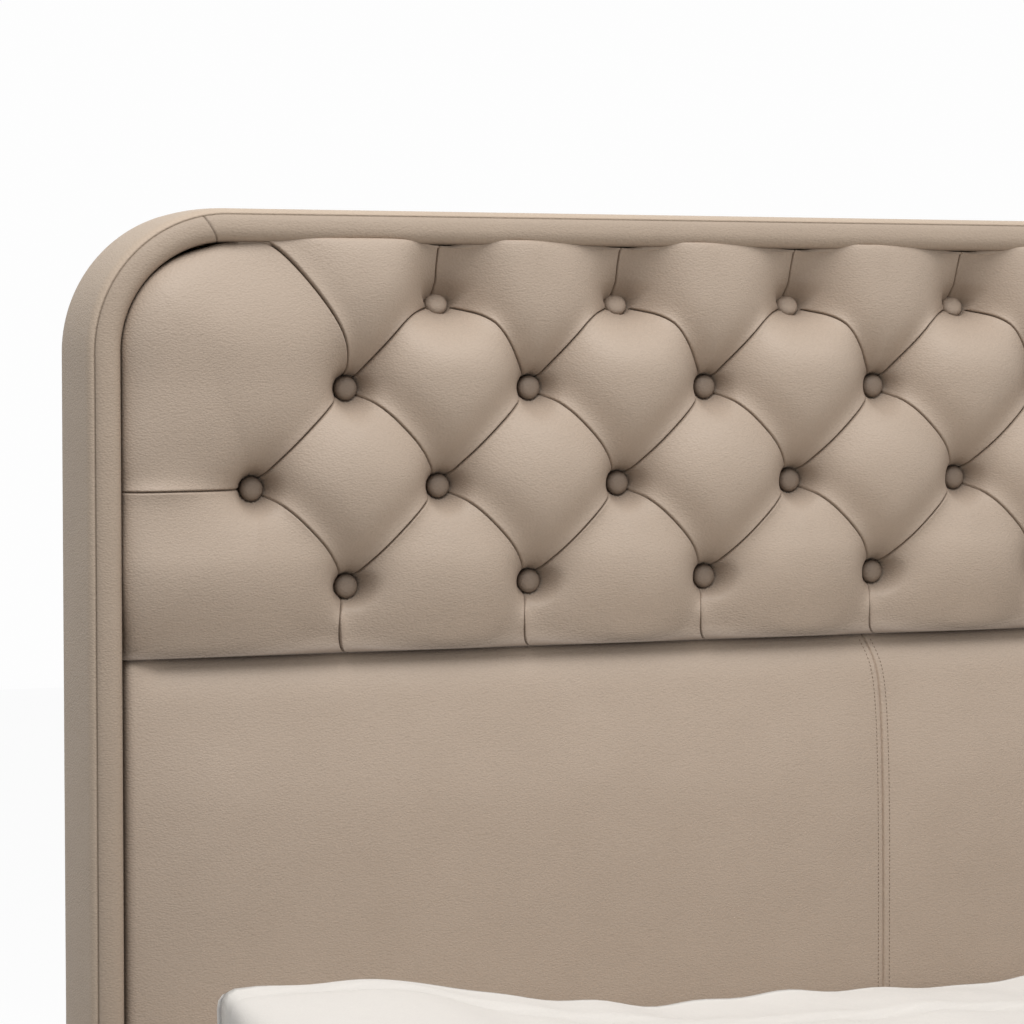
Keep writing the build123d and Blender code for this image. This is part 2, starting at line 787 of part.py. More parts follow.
upper_bow = bow(low_z + slat_thick)
lower_bow = bow(low_z)
slat_ends = [Line(lower_bow @ k, upper_bow @ k).edge() for k in (0, 1)]
slat_face = Face(Wire([upper_bow, lower_bow] + slat_ends))
slat_blank = extrude(slat_face, amount=slat_width, dir=(0, 1, 0))
first_slat = foot_bracket_y + slat_end_gap
last_slat = y_front - bracket_leg - slat_end_gap
slat_step = (last_slat - first_slat) / (slat_count - 1)
slats = []
caps = {"outer": [], "inner": []}
cap_side = (cap_width - slat_width) / 2
for k in range(slat_count):
    y = first_slat + slat_step * k - slat_width / 2
    slat = Pos(0, y, 0) * slat_blank
    slats.append(slat)
    for place, x0, x1 in (
        ("outer", -side_core_in, -side_core_in + cap_length),
        ("inner", -cap_length, 0),
    ):
        cap = block(x0, x1, y - cap_side, y + slat_width + cap_side, cap_base, cap_base + cap_height)
        caps[place].append(cap - slat)
both_sides("slats", Compound(children=slats))
for place in caps:
    mirrored = [mirror(cap, Plane.YZ) for cap in caps[place]]
    save("slat_caps_" + place, Compound(children=caps[place] + mirrored))

# ---- mattress, sheet and duvet
mattress_x = side_core_in - mattress_side_gap
mattress_head = y_panel - mattress_head_gap
mattress_foot = foot_inner_y + mattress_foot_gap
mattress_top = mattress_bottom + mattress_height
mattress = block(-mattress_x, mattress_x, mattress_foot, mattress_head, mattress_bottom, mattress_top)
mattress = fillet(mattress.edges(), mattress_round)
save("mattress", mattress)
sheet_out = sheet_thick
sheet_bottom = mattress_bottom + mattress_height / 2
sheet = block(
    -mattress_x - sheet_out,
    mattress_x + sheet_out,
    mattress_foot - sheet_out,
    mattress_head + sheet_out,
    sheet_bottom,
    mattress_top + sheet_out,
)
sheet_edges = [e for e in sheet.edges() if e.center().Z > sheet_bottom + 1]
sheet = fillet(sheet_edges, mattress_round + sheet_out)
save("fitted_sheet", sheet - mattress)

inner_x = mattress_x + sheet_thick + bedding_gap
inner_top = mattress_top + sheet_thick + bedding_gap
inner_foot = mattress_foot - sheet_thick - bedding_gap
duvet_side_x = mattress_x + duvet_side_drop
duvet_foot_y = mattress_foot - duvet_foot_drop
duvet_head_y = mattress_head - duvet_head_gap
duvet_hem = rail_top + duvet_hem_rise
duvet = block(-duvet_side_x, duvet_side_x, duvet_foot_y, duvet_head_y, duvet_hem, inner_top + duvet_top_thick)
duvet_edges = [
    e
    for e in duvet.edges()
    if e.center().Z > duvet_hem + 1 and e.center().Y < duvet_head_y - 1
]
duvet = fillet(duvet_edges, duvet_round)
hollow = block(-inner_x, inner_x, inner_foot, duvet_head_y + 1, 0, inner_top)
duvet -= hollow
fold = block(
    -duvet_side_x + duvet_round,
    duvet_side_x - duvet_round,
    duvet_head_y - fold_width,
    duvet_head_y,
    inner_top + duvet_top_thick - 1,
    inner_top + duvet_top_thick + fold_thick,
)
fold = fillet([e for e in fold.edges() if e.center().Z > inner_top + duvet_top_thick], fold_thick * 0.7)
save("duvet", duvet + fold)

for name, shape in done.items():
    print(name, round(shape.volume), shape.is_valid)
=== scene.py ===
import math

import bpy
import numpy as np
from mathutils import Matrix, Vector


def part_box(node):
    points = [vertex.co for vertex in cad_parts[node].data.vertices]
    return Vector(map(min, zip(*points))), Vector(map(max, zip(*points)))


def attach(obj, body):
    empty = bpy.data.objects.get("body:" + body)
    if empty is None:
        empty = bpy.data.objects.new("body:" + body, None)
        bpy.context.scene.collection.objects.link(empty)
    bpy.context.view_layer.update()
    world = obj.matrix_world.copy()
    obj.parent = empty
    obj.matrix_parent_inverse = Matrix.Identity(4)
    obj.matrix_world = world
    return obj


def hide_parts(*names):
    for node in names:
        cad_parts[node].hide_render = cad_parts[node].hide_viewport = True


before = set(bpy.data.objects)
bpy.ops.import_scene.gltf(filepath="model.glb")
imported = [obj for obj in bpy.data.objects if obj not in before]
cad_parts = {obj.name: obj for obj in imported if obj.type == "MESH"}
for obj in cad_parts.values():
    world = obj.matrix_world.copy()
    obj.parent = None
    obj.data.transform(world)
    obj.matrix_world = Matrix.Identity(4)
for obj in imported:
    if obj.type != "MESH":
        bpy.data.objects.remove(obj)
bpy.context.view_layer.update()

# Looks of the upholstered headboard bed. Lengths are in millimetres until a mesh is made.
# The camera, the light and the floor are placed in metres.
MM = 0.001
QUARTER = math.pi / 2


def edges_of(node):
    """A CAD node's lowest and highest corners, in millimetres."""
    low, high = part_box(node)
    return np.array(low) / MM, np.array(high) / MM


# ---- places that come from the frame
boxing_low, boxing_high = edges_of("border_boxing")
pad_low, pad_high = edges_of("tufted_pad")
panel_low = edges_of("lower_cover_left")[0]
half_width, y_back, headboard_top = boxing_high
pad_x, y_board, pad_top = pad_high
border_bottom = boxing_low[2]
band_bottom = pad_low[2]
y_front = edges_of("border_facing_left")[0][1]
y_panel = panel_low[1]
panel_bottom = panel_low[2]

# ---- sizes that the solids leave to the cloth and leather
corner_radius = 128.0
border_width = 30.0
button_columns = 8
button_side_gap = 127.0
row_drops = {1: 83.0, 2: 160.0, 3: 250.0, 4: 340.0}
seat_depth = {1: 52.0, 2: 46.0, 3: 46.0, 4: 46.0}
top_seat_tilt = math.radians(30)
button_radius = 11.25
crown_y = y_front - 12.0
crown_drop = 9.0
slit_depth, slit_half = 6.0, 0.7
button_pitch = 2 * (pad_x - button_side_gap) / (button_columns - 1)
first_column = -button_pitch * (button_columns - 1) / 2
corner_x = half_width - corner_radius
corner_z = headboard_top - corner_radius
pad_corner = pad_x - corner_x
groove_x = half_width - border_width
groove_z = headboard_top - border_width


def smoothstep(x):
    x = np.clip(x, 0.0, 1.0)
    return x * x * (3 - 2 * x)


def bell(x, reach, power=2):
    """1 at x = 0, fading to nothing a little past the reach."""
    return np.exp(-((x / reach) ** power))


# ---- materials
def colour(red, green, blue):
    """A colour written as sRGB 0-255, as the shader wants it."""
    parts = [c / 255 for c in (red, green, blue)]
    return tuple(c / 12.92 if c <= 0.04045 else ((c + 0.055) / 1.055) ** 2.4 for c in parts) + (1.0,)


class Nodes:
    """Adds nodes to a tree and links them by name."""

    def __init__(self, tree):
        self.tree = tree

    def add(self, kind, settings=None, **inputs):
        node = self.tree.nodes.new(kind)
        for key, value in (settings or {}).items():
            setattr(node, key, value)
        for key, value in inputs.items():
            socket = node.inputs[int(key[1:]) if key[0] == "_" else key.replace("_", " ")]
            if isinstance(value, bpy.types.NodeSocket):
                self.tree.links.new(value, socket)
            else:
                socket.default_value = value
        return node

    def math(self, operation, a, b=0.0):
        return self.add("ShaderNodeMath", {"operation": operation}, _0=a, _1=b).outputs[0]

    def weighted(self, *terms):
        """The sum of (value, weight) pairs."""
        total = None
        for value, weight in terms:
            part = self.math("MULTIPLY", value, weight)
            total = part if total is None else self.math("ADD", total, part)
        return total


class Material(Nodes):
    """A material under construction."""

    def __init__(self, name, roughness, **sockets):
        self.material = bpy.data.materials.new(name)
        self.material.use_nodes = True
        super().__init__(self.material.node_tree)
        self.shader = self.tree.nodes["Principled BSDF"]
        self.shader.inputs["Roughness"].default_value = roughness
        for key, value in sockets.items():
            self.shader.inputs[key.replace("_", " ")].default_value = value
        self.place = self.add("ShaderNodeTexCoord").outputs["Object"]

    def stretched(self, sizes):
        """Object coordinates counted in cells of the given size, in millimetres."""
        scale = [1 / (s * MM) for s in sizes]
        return self.add("ShaderNodeMapping", Vector=self.place, Scale=scale).outputs["Vector"]

    def noise(self, sizes, detail=2.0, distortion=0.0):
        place = self.stretched(sizes)
        node = self.add("ShaderNodeTexNoise", Vector=place, Scale=1.0, Detail=detail, Distortion=distortion)
        return node.outputs["Fac"]

    def ramp(self, factor, *stops):
        node = self.add("ShaderNodeValToRGB", Fac=factor)
        elements = node.color_ramp.elements
        while len(elements) < len(stops):
            elements.new(0.5)
        for element, (position, value) in zip(elements, stops):
            element.position = position
            element.color = value
        return node.outputs["Color"]

    def bump(self, height, distance, strength=1.0, normal=None):
        node = self.add("ShaderNodeBump", Height=height, Distance=distance * MM, Strength=strength)
        if normal is not None:
            self.tree.links.new(normal, node.inputs["Normal"])
        return node.outputs["Normal"]

    def finish(self, base, normal=None, roughness=None):
        for name, value in (("Base Color", base), ("Normal", normal), ("Roughness", roughness)):
            if value is not None:
                self.tree.links.new(value, self.shader.inputs[name])
        return self.material


# the dark brown that painted shade in creases, pits, seams and rims blends the leather towards
painted_shade_brown = colour(52, 38, 29)


def leather_material(name, deep, mid, light, shine=0.3):
    """Pebbled leather with pores, darkened by painted shade where the mesh's per-point shade attribute says
    so.
    """
    n = Material(name, 0.5, Specular_IOR_Level=shine)
    warp = n.add("ShaderNodeTexNoise", Vector=n.stretched((7, 7, 6)), Scale=1.0, Detail=1.0)
    wobble = n.add(
        "ShaderNodeVectorMath",
        {"operation": "MULTIPLY_ADD"},
        _0=warp.outputs["Color"],
        _1=(0.35,) * 3,
        _2=n.stretched((2.5, 2.5, 1.55)),
    )
    cells = {"Vector": wobble.outputs[0], "Scale": 1.0, "Smoothness": 0.35}
    cells = n.add("ShaderNodeTexVoronoi", {"feature": "SMOOTH_F1"}, **cells)
    pebbles = n.math("SUBTRACT", 1.0, cells.outputs["Distance"])
    grain = n.weighted((pebbles, 1.0), (n.noise((4.6, 4.6, 2.0), 2.0, 0.4), 0.12))
    tint = n.weighted((grain, 0.16), (n.noise((70, 70, 50), 3.0), 0.2))
    clean = n.ramp(tint, (0.07, colour(*deep)), (0.28, colour(*mid)), (0.49, colour(*light)))
    # painted shade: a per-point attribute of the mesh blends the leather towards the dark brown
    painted_shade = n.add("ShaderNodeAttribute", {"attribute_name": "painted_shade"}).outputs["Fac"]
    base = n.add("ShaderNodeMix", {"data_type": "RGBA"}, _0=painted_shade, _6=clean, _7=painted_shade_brown)
    pores = n.math("MULTIPLY", n.noise((0.9, 0.9, 0.7), 2.0), 0.1)
    normal = n.bump(n.math("ADD", grain, pores), 0.38, 0.85)
    rough = n.math("ADD", n.math("MULTIPLY", pebbles, -0.1), 0.58)
    return n.finish(base.outputs[2], normal, rough)


leather = leather_material("taupe_leather", (187, 169, 152), (196, 178, 161), (204, 186, 169))
# painted shade and painted light: the border facings get a darker copy of the leather, the boxing strip a
# lighter, less shiny one
shaded_strip_leather = leather_material("shaded_strip_leather", (176, 158, 141), (186, 168, 150), (194, 176, 158))
lit_side_leather = leather_material("lit_side_leather", (198, 179, 160), (208, 189, 169), (216, 197, 177), shine=0.15)
thread = Material("leather_thread", 0.75)
twist = thread.noise((0.4, 0.4, 0.9))
thread = thread.finish(thread.ramp(twist, (0.3, colour(112, 96, 81)), (0.7, colour(138, 121, 105))))


# ---- mesh helpers
def make_piece(name, points, faces, material, slot, painted_shade=None):
    data = bpy.data.meshes.new(name)
    data.from_pydata((np.asarray(points, float) * MM).tolist(), [], [list(map(int, f)) for f in faces])
    data.validate()
    data.polygons.foreach_set("use_smooth", [True] * len(data.polygons))
    # the painted shade of each point, which the leather material reads
    if painted_shade is not None:
        data.attributes.new("painted_shade", "FLOAT", "POINT").data.foreach_set("value", np.asarray(painted_shade, np.float32))
    data.materials.append(material)
    piece = bpy.data.objects.new(name, data)
    bpy.context.scene.collection.objects.link(piece)
    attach(piece, "bed")
    return piece


def padded_piece(name, points, faces, material, stands_for, slot="taupe_leather", fill=1.0, painted_shade=None):
    piece = make_piece(name, points, faces, material, slot, painted_shade)
    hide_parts(*stands_for)


def arc_points(x, y, radius, start, stop, count):
    """Points (x, y) round a centre, between two angles."""
    return [(x + radius * math.cos(a), y + radius * math.sin(a)) for a in np.linspace(start, stop, count)]


def grid_faces(rows, columns, start=0, closed=False):
    """Quads over a grid of points kept row by row."""
    across = columns if closed else columns - 1
    i, j = np.meshgrid(np.arange(rows - 1), np.arange(across), indexing="ij")
    i, j = i.ravel(), j.ravel()
    k = (j + 1) % columns
    this_row, next_row = i * columns + start, (i + 1) * columns + start
    return np.stack([this_row + j, this_row + k, next_row + k, next_row + j], 1)


def merged(points, faces, within=0.002):
    """The same mesh with coincident points made one, the first copy of each, and where each point went."""
    keys = np.round(points / within).astype(np.int64)
    _, first, where = np.unique(keys, axis=0, return_index=True, return_inverse=True)
    where = where.ravel()
    return points[first], where[faces], first, where


def welded(points, faces):
    """Coincident points made one, and the faces that lose a corner by it made triangles or dropped."""
    points, faces, _, _ = merged(points, faces)
    kept = [list(dict.fromkeys(f)) for f in faces.tolist()]
    return points, [f for f in kept if len(f) > 2]


def distances_along(points):
    """How far each point of a polyline lies from its first, along the line."""
    spans = np.linalg.norm(np.diff(points, axis=0), axis=1)
    return np.concatenate([[0], np.cumsum(spans)])


def segment_distance(x, z, curve):
    """Distance from many points to a polyline of (x, z) points."""
    a, b = curve[:-1], curve[1:]
    ab = b - a
    length = np.maximum((ab**2).sum(1), 1e-9)
    px, pz = x[:, None] - a[:, 0], z[:, None] - a[:, 1]
    t = np.clip((px * ab[:, 0] + pz * ab[:, 1]) / length, 0, 1)
    return np.sqrt((px - t * ab[:, 0]) ** 2 + (pz - t * ab[:, 1]) ** 2).min(1)


# ---- tufted band: its places and sizes
# positions from 0 to 1 along every line of a patch, closer together at both ends, where the creases are
cell_steps = 44
even = np.linspace(0, 1, cell_steps + 1)
steps = even - 0.86 * np.sin(2 * math.pi * even) / (2 * math.pi)
row_z = {row: headboard_top - drop for row, drop in row_drops.items()}
row_columns = {
    1: [k + 1.0 for k in range(button_columns - 2)],
    2: [k + 0.5 for k in range(button_columns - 1)],
    3: [k + 0.0 for k in range(button_columns)],
    4: [k + 0.5 for k in range(button_columns - 1)],
}
button_places = [(row, column) for row in row_columns for column in row_columns[row]]
top_lean, low_lean = 8.5, 38.0
top_bulge = 6.5
top_lean_from, low_lean_from = 1088.0, 940.0
rim_depth = {"side": y_board - 3.0, "top": y_front + 13.0, "bottom": y_panel - 2.0}
top_lie = y_front - 5.0
bottom_lie = y_front - 1.0
funnel, top_funnel = 18.0, 26.0
rim_pull = {1: -16.0, 4: -14.0}
side_lie, corner_lie = y_front + 4.0, y_front - 1.0
crease_leaves, crease_arrives = np.array([9.0, 70.0]), np.array([44.0, 10.0])
band_points, band_cells, crease_marks = [], [], []
cells = []


# ---- tufted band: the lines between its buttons
def button_at(row, column):
    return np.array([first_column + button_pitch * column, y_front + seat_depth[row], row_z[row]])


def straight(a, b):
    return a + (b - a) * steps[:, None]


def pleat(start, end, lift, rise=0.0, slide=0.0, fullness=2.0, lean=1.0):
    """A line from start to end whose middle stands out by lift, rise and slide."""
    t = steps[:, None]
    s = 1 - np.abs(2 * t**lean - 1) ** fullness
    return start + (end - start) * t + np.array([slide, -lift, rise]) * s


def diagonal(start, end):
    """A pleat between two buttons, with the very same points whichever way it runs."""
    if start[2] < end[2]:
        return diagonal(end, start)[::-1]
    if start[2] == row_z[1]:
        return pleat(start, end, lift=36, rise=18, fullness=1.5)
    slide = 3.5 * math.copysign(1, start[0] - end[0])
    return pleat(start, end, lift=37, rise=12, slide=slide, fullness=2.7, lean=1.13)


def rim_pleat(row, column):
    """The short pleat from an end-row button to the rim: out of the button's funnel, then flat."""
    button = button_at(row, column)
    rim_z, lie = (pad_top, top_lie) if row == 1 else (band_bottom, bottom_lie)
    z = button[2] + (rim_z - button[2]) * steps
    sink = bell(z - button[2], funnel)
    held = bell(z - button[2], top_funnel) if row == 1 else sink
    x = button[0] + rim_pull[row] * (1 - held) * (1 - 0.35 * steps**2)
    return np.stack([x, lie + (button[1] - lie) * sink, z], 1)


# ---- tufted band: patches between four lines
def coons(low, right, high, left):
    """A patch between four lines: low and high run with u, left and right with v."""
    u, v = steps[None, :, None], steps[:, None, None]
    ruled = (1 - v) * low[None] + v * high[None] + (1 - u) * left[:, None] + u * right[:, None]
    corners = (1 - u) * (1 - v) * low[0] + u * (1 - v) * low[-1] + (1 - u) * v * high[0] + u * v * high[-1]
    return ruled - corners


def new_cell(upper=(), lower=(), side=(), at_rim=True):
    """One pillow and the creases round it."""
    cells.append({"upper": upper, "lower": lower, "side": side, "at_rim": at_rim})


def add_patch(low, right, high, left, creases):
    """A patch of the newest pillow; creases names the sides that are creases."""
    grid = coons(low, right, high, left)
    mark = np.zeros(grid.shape[:2], bool)
    mark[0] |= "low" in creases
    mark[-1] |= "high" in creases
    mark[:, 0] |= "left" in creases
    mark[:, -1] |= "right" in creases
    band_points.append(grid.reshape(-1, 3))
    band_cells.append(np.full(mark.size, len(cells) - 1))
    crease_marks.append(mark.ravel())


# ---- tufted band: the pillows, first the whole diamonds
for row in (2, 3):
    for column in row_columns[row - 1]:
        top, low = button_at(row - 1, column), button_at(row + 1, column)
        left, right = button_at(row, column - 0.5), button_at(row, column + 0.5)
        lines = [diagonal(low, right), diagonal(right, top), diagonal(left, top), diagonal(low, left)]
        new_cell(upper=lines[1:3], lower=[lines[0], lines[3]], at_rim=False)
        add_patch(*lines, ("low", "right", "high", "left"))

# half diamonds at the top and bottom rims
for row, apex_row in ((4, 3), (1, 2)):
    for column in row_columns[row][:-1]:
        apex = button_at(apex_row, column + 0.5)
        walls = [rim_pleat(row, column), rim_pleat(row, column + 1)]
        creases = [diagonal(button_at(row, column + k), apex) for k in (0, 1)]
        middle = (walls[0][-1] + walls[1][-1]) / 2
        spine = straight(apex, middle)
        halves = [straight(wall[-1], middle) for wall in walls]
        over, under = (creases, ()) if row == 4 else ((), creases)
        new_cell(upper=over, lower=under, side=walls)
        for wall, crease, half in zip(walls, creases, halves):
            add_patch(crease, spine, half, wall, ("low", "left"))

# the large pillows at both ends
for sign in (-1, 1):
    ends = {row: columns[0 if sign < 0 else -1] for row, columns in row_columns.items()}
    one, two, three, four = [button_at(row, ends[row]) for row in (1, 2, 3, 4)]
    side = np.array([sign * pad_x, side_lie, three[2]])
    turn = np.array([sign * corner_x, corner_lie, pad_top])
    level = pleat(three, side, lift=22, fullness=2.4)
    # the corner crease is a Bezier curve from its button to the rim
    start, stop, flip = two[[0, 2]], turn[[0, 2]], np.array([sign, 1])
    bend = (start, start + flip * crease_leaves, stop - flip * crease_arrives, stop)
    t = steps[:, None]
    share = ((1 - t) ** 3, 3 * t * (1 - t) ** 2, 3 * t**2 * (1 - t), t**3)
    plan = sum(s * b for s, b in zip(share, bend))
    depth = turn[1] + (two[1] - turn[1]) * bell(np.hypot(*(plan - start).T), 26.0, 1.5)
    corner_crease = np.stack([plan[:, 0], depth, plan[:, 1]], 1)

    # the outline from the level pleat up and round the corner to the corner crease
    rise = corner_z - side[2]
    arc = pad_corner * QUARTER
    middle_at = rise + arc / 2

    def outline(s):
        angle = np.clip((s - rise) / pad_corner, 0, QUARTER)
        x = corner_x + pad_corner * np.cos(angle)
        z = np.minimum(side[2] + s, corner_z) + pad_corner * np.sin(angle)
        return np.stack([sign * x, np.full_like(x, side[1]), z], 1)

    # two patches meet along the spine from the end button to the middle of the corner
    spine = straight(three, outline(np.array([middle_at]))[0])
    low_part = outline(middle_at * 0.5 * steps)
    high_part = outline(middle_at * (0.5 + 0.5 * steps))
    over_part = outline(middle_at + arc / 2 * steps)
    upper = diagonal(two, three)
    new_cell(upper=[corner_crease], lower=[level, upper])
    add_patch(level, low_part, high_part[::-1], spine, ("low",))
    add_patch(spine, over_part, corner_crease, upper[::-1], ("high", "left"))

    above = rim_pleat(1, ends[1])
    lower = diagonal(two, one)
    short_rim = straight(turn, above[-1])
    new_cell(side=[above], lower=[lower, corner_crease])
    add_patch(lower, above, short_rim, corner_crease, ("low", "right", "left"))

    down = rim_pleat(4, ends[4])
    drop = three[2] - band_bottom
    span = pad_x - abs(down[-1][0])

    def low_outline(s):
        x = pad_x - span * np.clip((s - drop) / span, 0, 1)
        z = side[2] - np.minimum(s, drop)
        return np.stack([sign * x, np.full_like(x, side[1]), z], 1)

    fall = low_outline(drop * steps)
    near = low_outline(drop + span / 2 * steps)
    far = low_outline(drop + span / 2 * (1 + steps))
    spine = straight(three, near[-1])
    slant = diagonal(three, four)
    new_cell(upper=[level, slant], side=[down])
    add_patch(level, fall, near[::-1], spine, ("low",))
    add_patch(spine, far, down, slant, ("high", "left"))



# ---- tufted band: one skin of all patches, every face looking out of the band
per_patch = (cell_steps + 1) ** 2
all_points = np.vstack(band_points)
all_faces = [grid_faces(cell_steps + 1, cell_steps + 1, k * per_patch) for k in range(len(band_points))]
skin, skin_faces, first, where = merged(all_points, np.vstack(all_faces))
cell_of = np.concatenate(band_cells)[first]
on_crease = np.zeros(len(skin), bool)
np.logical_or.at(on_crease, where, np.concatenate(crease_marks))
plan = skin[skin_faces][:, :, [0, 2]]
across, along = plan[:, 2] - plan[:, 0], plan[:, 3] - plan[:, 1]
inward = across[:, 0] * along[:, 1] - across[:, 1] * along[:, 0] < 0
skin_faces[inward] = skin_faces[inward][:, ::-1]


class Membrane:
    """A stretched sheet over the band's plan, solved for its depth with some points held."""

    def __init__(self, points, quads):
        triangles = np.vstack([quads[:, [0, 1, 2]], quads[:, [0, 2, 3]]])
        size = len(points)
        ones, twos, weights = [], [], []
        self.load = np.zeros(size)
        for k in range(3):
            a, b, c = (triangles[:, (k + j) % 3] for j in range(3))
            ca, cb = points[a] - points[c], points[b] - points[c]
            twice = np.abs(ca[:, 0] * cb[:, 1] - ca[:, 1] * cb[:, 0]) + 1e-9
            ones.append(a)
            twos.append(b)
            weights.append(np.maximum((ca * cb).sum(1) / twice / 2, 0.02))
            self.load += np.bincount(c, twice / 6, size)
        self.one, self.two, self.weight = map(np.concatenate, (ones, twos, weights))
        self.diagonal = np.bincount(self.one, self.weight, size) + np.bincount(self.two, self.weight, size)

    def pulled(self, u):
        flow = self.weight * (u[self.one] - u[self.two])
        return np.bincount(self.one, flow, len(u)) - np.bincount(self.two, flow, len(u))

    def solve(self, held, values, load, rounds=700):
        """Conjugate gradients with the held points at their values."""
        u = np.where(held, values, values[held].mean())
        r = np.where(held, 0, load - self.pulled(u))
        z = r / self.diagonal
        p, rz = z, (r * z).sum()
        for _ in range(rounds):
            q = np.where(held, 0, self.pulled(p))
            step = rz / max((p * q).sum(), 1e-30)
            u, r = u + step * p, r - step * q
            z = r / self.diagonal
            rz, before = (r * z).sum(), rz
            if rz < 1e-12:
                break
            p = z + rz / before * p
        return u


# ---- tufted band: each pillow filled, full above and tucked behind the next ones below
no_load = np.zeros(len(skin))
membrane = Membrane(skin[:, [0, 2]], skin_faces)
lie = membrane.solve(on_crease, skin[:, 1], no_load)
swell = membrane.solve(on_crease, no_load, membrane.load)
for number in range(len(cells)):
    swell[cell_of == number] /= swell[cell_of == number].max()

rim_fold, inner_fold = (0.35, 12.0), (0.6, 19.0)
fill = np.tanh(swell) / math.tanh(1.0)
from_crease = np.zeros(len(skin))
from_side = np.full(len(skin), 1e3)
for number, cell in enumerate(cells):
    own = np.where(cell_of == number)[0]
    x, z = skin[own, 0], skin[own, 2]
    nearest = np.full(len(own), 1e3)
    share, reach = rim_fold if cell["at_rim"] else inner_fold
    for line in cell["lower"]:
        d = segment_distance(x, z, line[:, [0, 2]])
        fill[own] *= 1 - share * bell(d, reach)
        nearest = np.minimum(nearest, d)
    for line in (*cell["upper"], *cell["side"]):
        nearest = np.minimum(nearest, segment_distance(x, z, line[:, [0, 2]]))
    for line in cell["side"]:
        from_side[own] = np.minimum(from_side[own], np.abs(x - line[-1][0]))
    from_crease[own] = nearest

# the band as a whole is domed: it leans back towards its top and bottom rims
x, z = skin[:, 0].copy(), skin[:, 2].copy()
up = np.clip((z - top_lean_from) / (pad_top - top_lean_from), 0, 1)
down = np.clip((low_lean_from - z) / (low_lean_from - band_bottom), 0, 1)
lean = top_lean * up**2 - top_bulge * np.sin(math.pi * up) ** 2 + low_lean * down**1.6
crown = crown_y + crown_drop * (1 - swell)
depth = lie + (crown - lie) * fill + lean

# every button draws in the leather above and round it
for row, column in button_places:
    seat = button_at(row, column)
    drawn_in, reach, above = (0.62, 34.0, 6.0) if row == 1 else (0.22, 27.0, 8.0)
    away = np.hypot(x - seat[0], z - seat[2] - above)
    depth += (seat[1] - depth) * drawn_in * bell(away, reach)


# ---- tufted band: rims rolled into the groove and over the lower panel, with a lip that swells past them
pleat_dip, pleat_reach = 0.36, 26.0
lip_end, lip_fade = y_front + 46.0, 40.0
corner = arc_points(corner_x, corner_z, pad_corner, 0, QUARTER, 30)
right_side = np.array([(pad_x, band_bottom), (pad_x, corner_z), *corner])
gaps = {
    "side": np.minimum(segment_distance(x, z, right_side), segment_distance(-x, z, right_side)),
    "top": segment_distance(x, z, np.array([(-corner_x, pad_top), (corner_x, pad_top)])),
    "bottom": segment_distance(x, z, np.array([(-pad_x, band_bottom), (pad_x, band_bottom)])),
}
weights = {kind: 1 / (gap + 0.05) ** 2 for kind, gap in gaps.items()}
shares = {kind: weight / sum(weights.values()) for kind, weight in weights.items()}
gap = np.minimum.reduce(list(gaps.values()))
edge_depth = sum(shares[kind] * rim_depth[kind] for kind in gaps)
roll_reach = 60.0
roll = np.sqrt(1 - (1 - np.clip(gap / roll_reach, 0, 1)) ** 5)
depth = edge_depth + (depth - edge_depth) * roll
dipped = 1 - pleat_dip * bell(from_side, pleat_reach)
round_x = np.where(z > corner_z, np.maximum(np.abs(x) - corner_x, 0), 1.0)
round_z = np.maximum(z - corner_z, 0)
length = np.maximum(np.hypot(round_x, round_z), 1e-6)
sideways = (np.sign(x) * round_x / length, round_z / length)
rim_ways = {"side": sideways, "top": (0, dipped), "bottom": (0, -1.0)}
rim_swell = {"side": (11.0, 11.0), "top": (19.0, 16.0), "bottom": (6.0, 9.0)}
full = smoothstep((lip_end - depth) / lip_fade)
for kind, (reach, peak) in rim_swell.items():
    push = shares[kind] * reach * gap / peak * np.exp(1 - gap / peak) * full
    skin[:, 0] += push * rim_ways[kind][0]
    skin[:, 2] += push * rim_ways[kind][1]
skin[:, 1] = depth


# ---- tufted band: a pit round each button, with a narrow gap at the cap's edge and walls that open outwards
pit_radii = [0.0, 11.9, 12.9, 15.0, 19.0, 24.0, 30.0, 38.0]
pit_heights = [-4.0, -4.0, 2.5, 7.5, 18.0, 31.0, 45.0, 70.0]
pit_reach, pit_floor, pit_blend = 38.0, 12.5, 4.0
# painted shade: thin dark lines along the creases and along the band's bottom and side rims
dark_crease = 0.36 * bell(from_crease, 1.0, 1.5)
dark_rims = np.maximum(0.75 * bell(gaps["bottom"], 8.0), 0.7 * bell(gaps["side"], 5.0))
shadow = np.maximum(dark_crease, dark_rims)
for row, column in button_places:
    seat = button_at(row, column)
    tilt = top_seat_tilt if row == 1 else 0.0
    normal = np.array([0, -math.cos(tilt), math.sin(tilt)])
    off = skin - seat
    height = off @ normal
    radial = np.linalg.norm(off - height[:, None] * normal, axis=1)
    near = np.where((radial < pit_reach) & (height > -20))[0]
    out, high = radial[near], height[near]
    wall = np.interp(out, pit_radii, pit_heights)
    blend = pit_blend * smoothstep((out - 13) / 6)
    low = 0.5 * (high + wall - np.sqrt((high - wall) ** 2 + blend**2))
    low = np.where(out < pit_floor, wall, low)
    fade = smoothstep((pit_reach - out) / 8)
    if row == 1:
        fade *= 1 - smoothstep((off[near, 2] - 8) / 14)
    skin[near] += ((low - high) * fade)[:, None] * normal
    # painted shade round each button's pit, stronger above it, weaker for the top row
    pit_painted_shade = 0.5 * np.exp(-np.maximum(radial - 11, 0) / 13) * (0.4 + 0.6 * smoothstep(0.5 + off[:, 2] / 30))
    shadow = np.maximum(shadow, pit_painted_shade * (0.7 if row == 1 else 1.0))
skin[:, 1] += slit_depth * bell(from_crease, slit_half, 1.6)


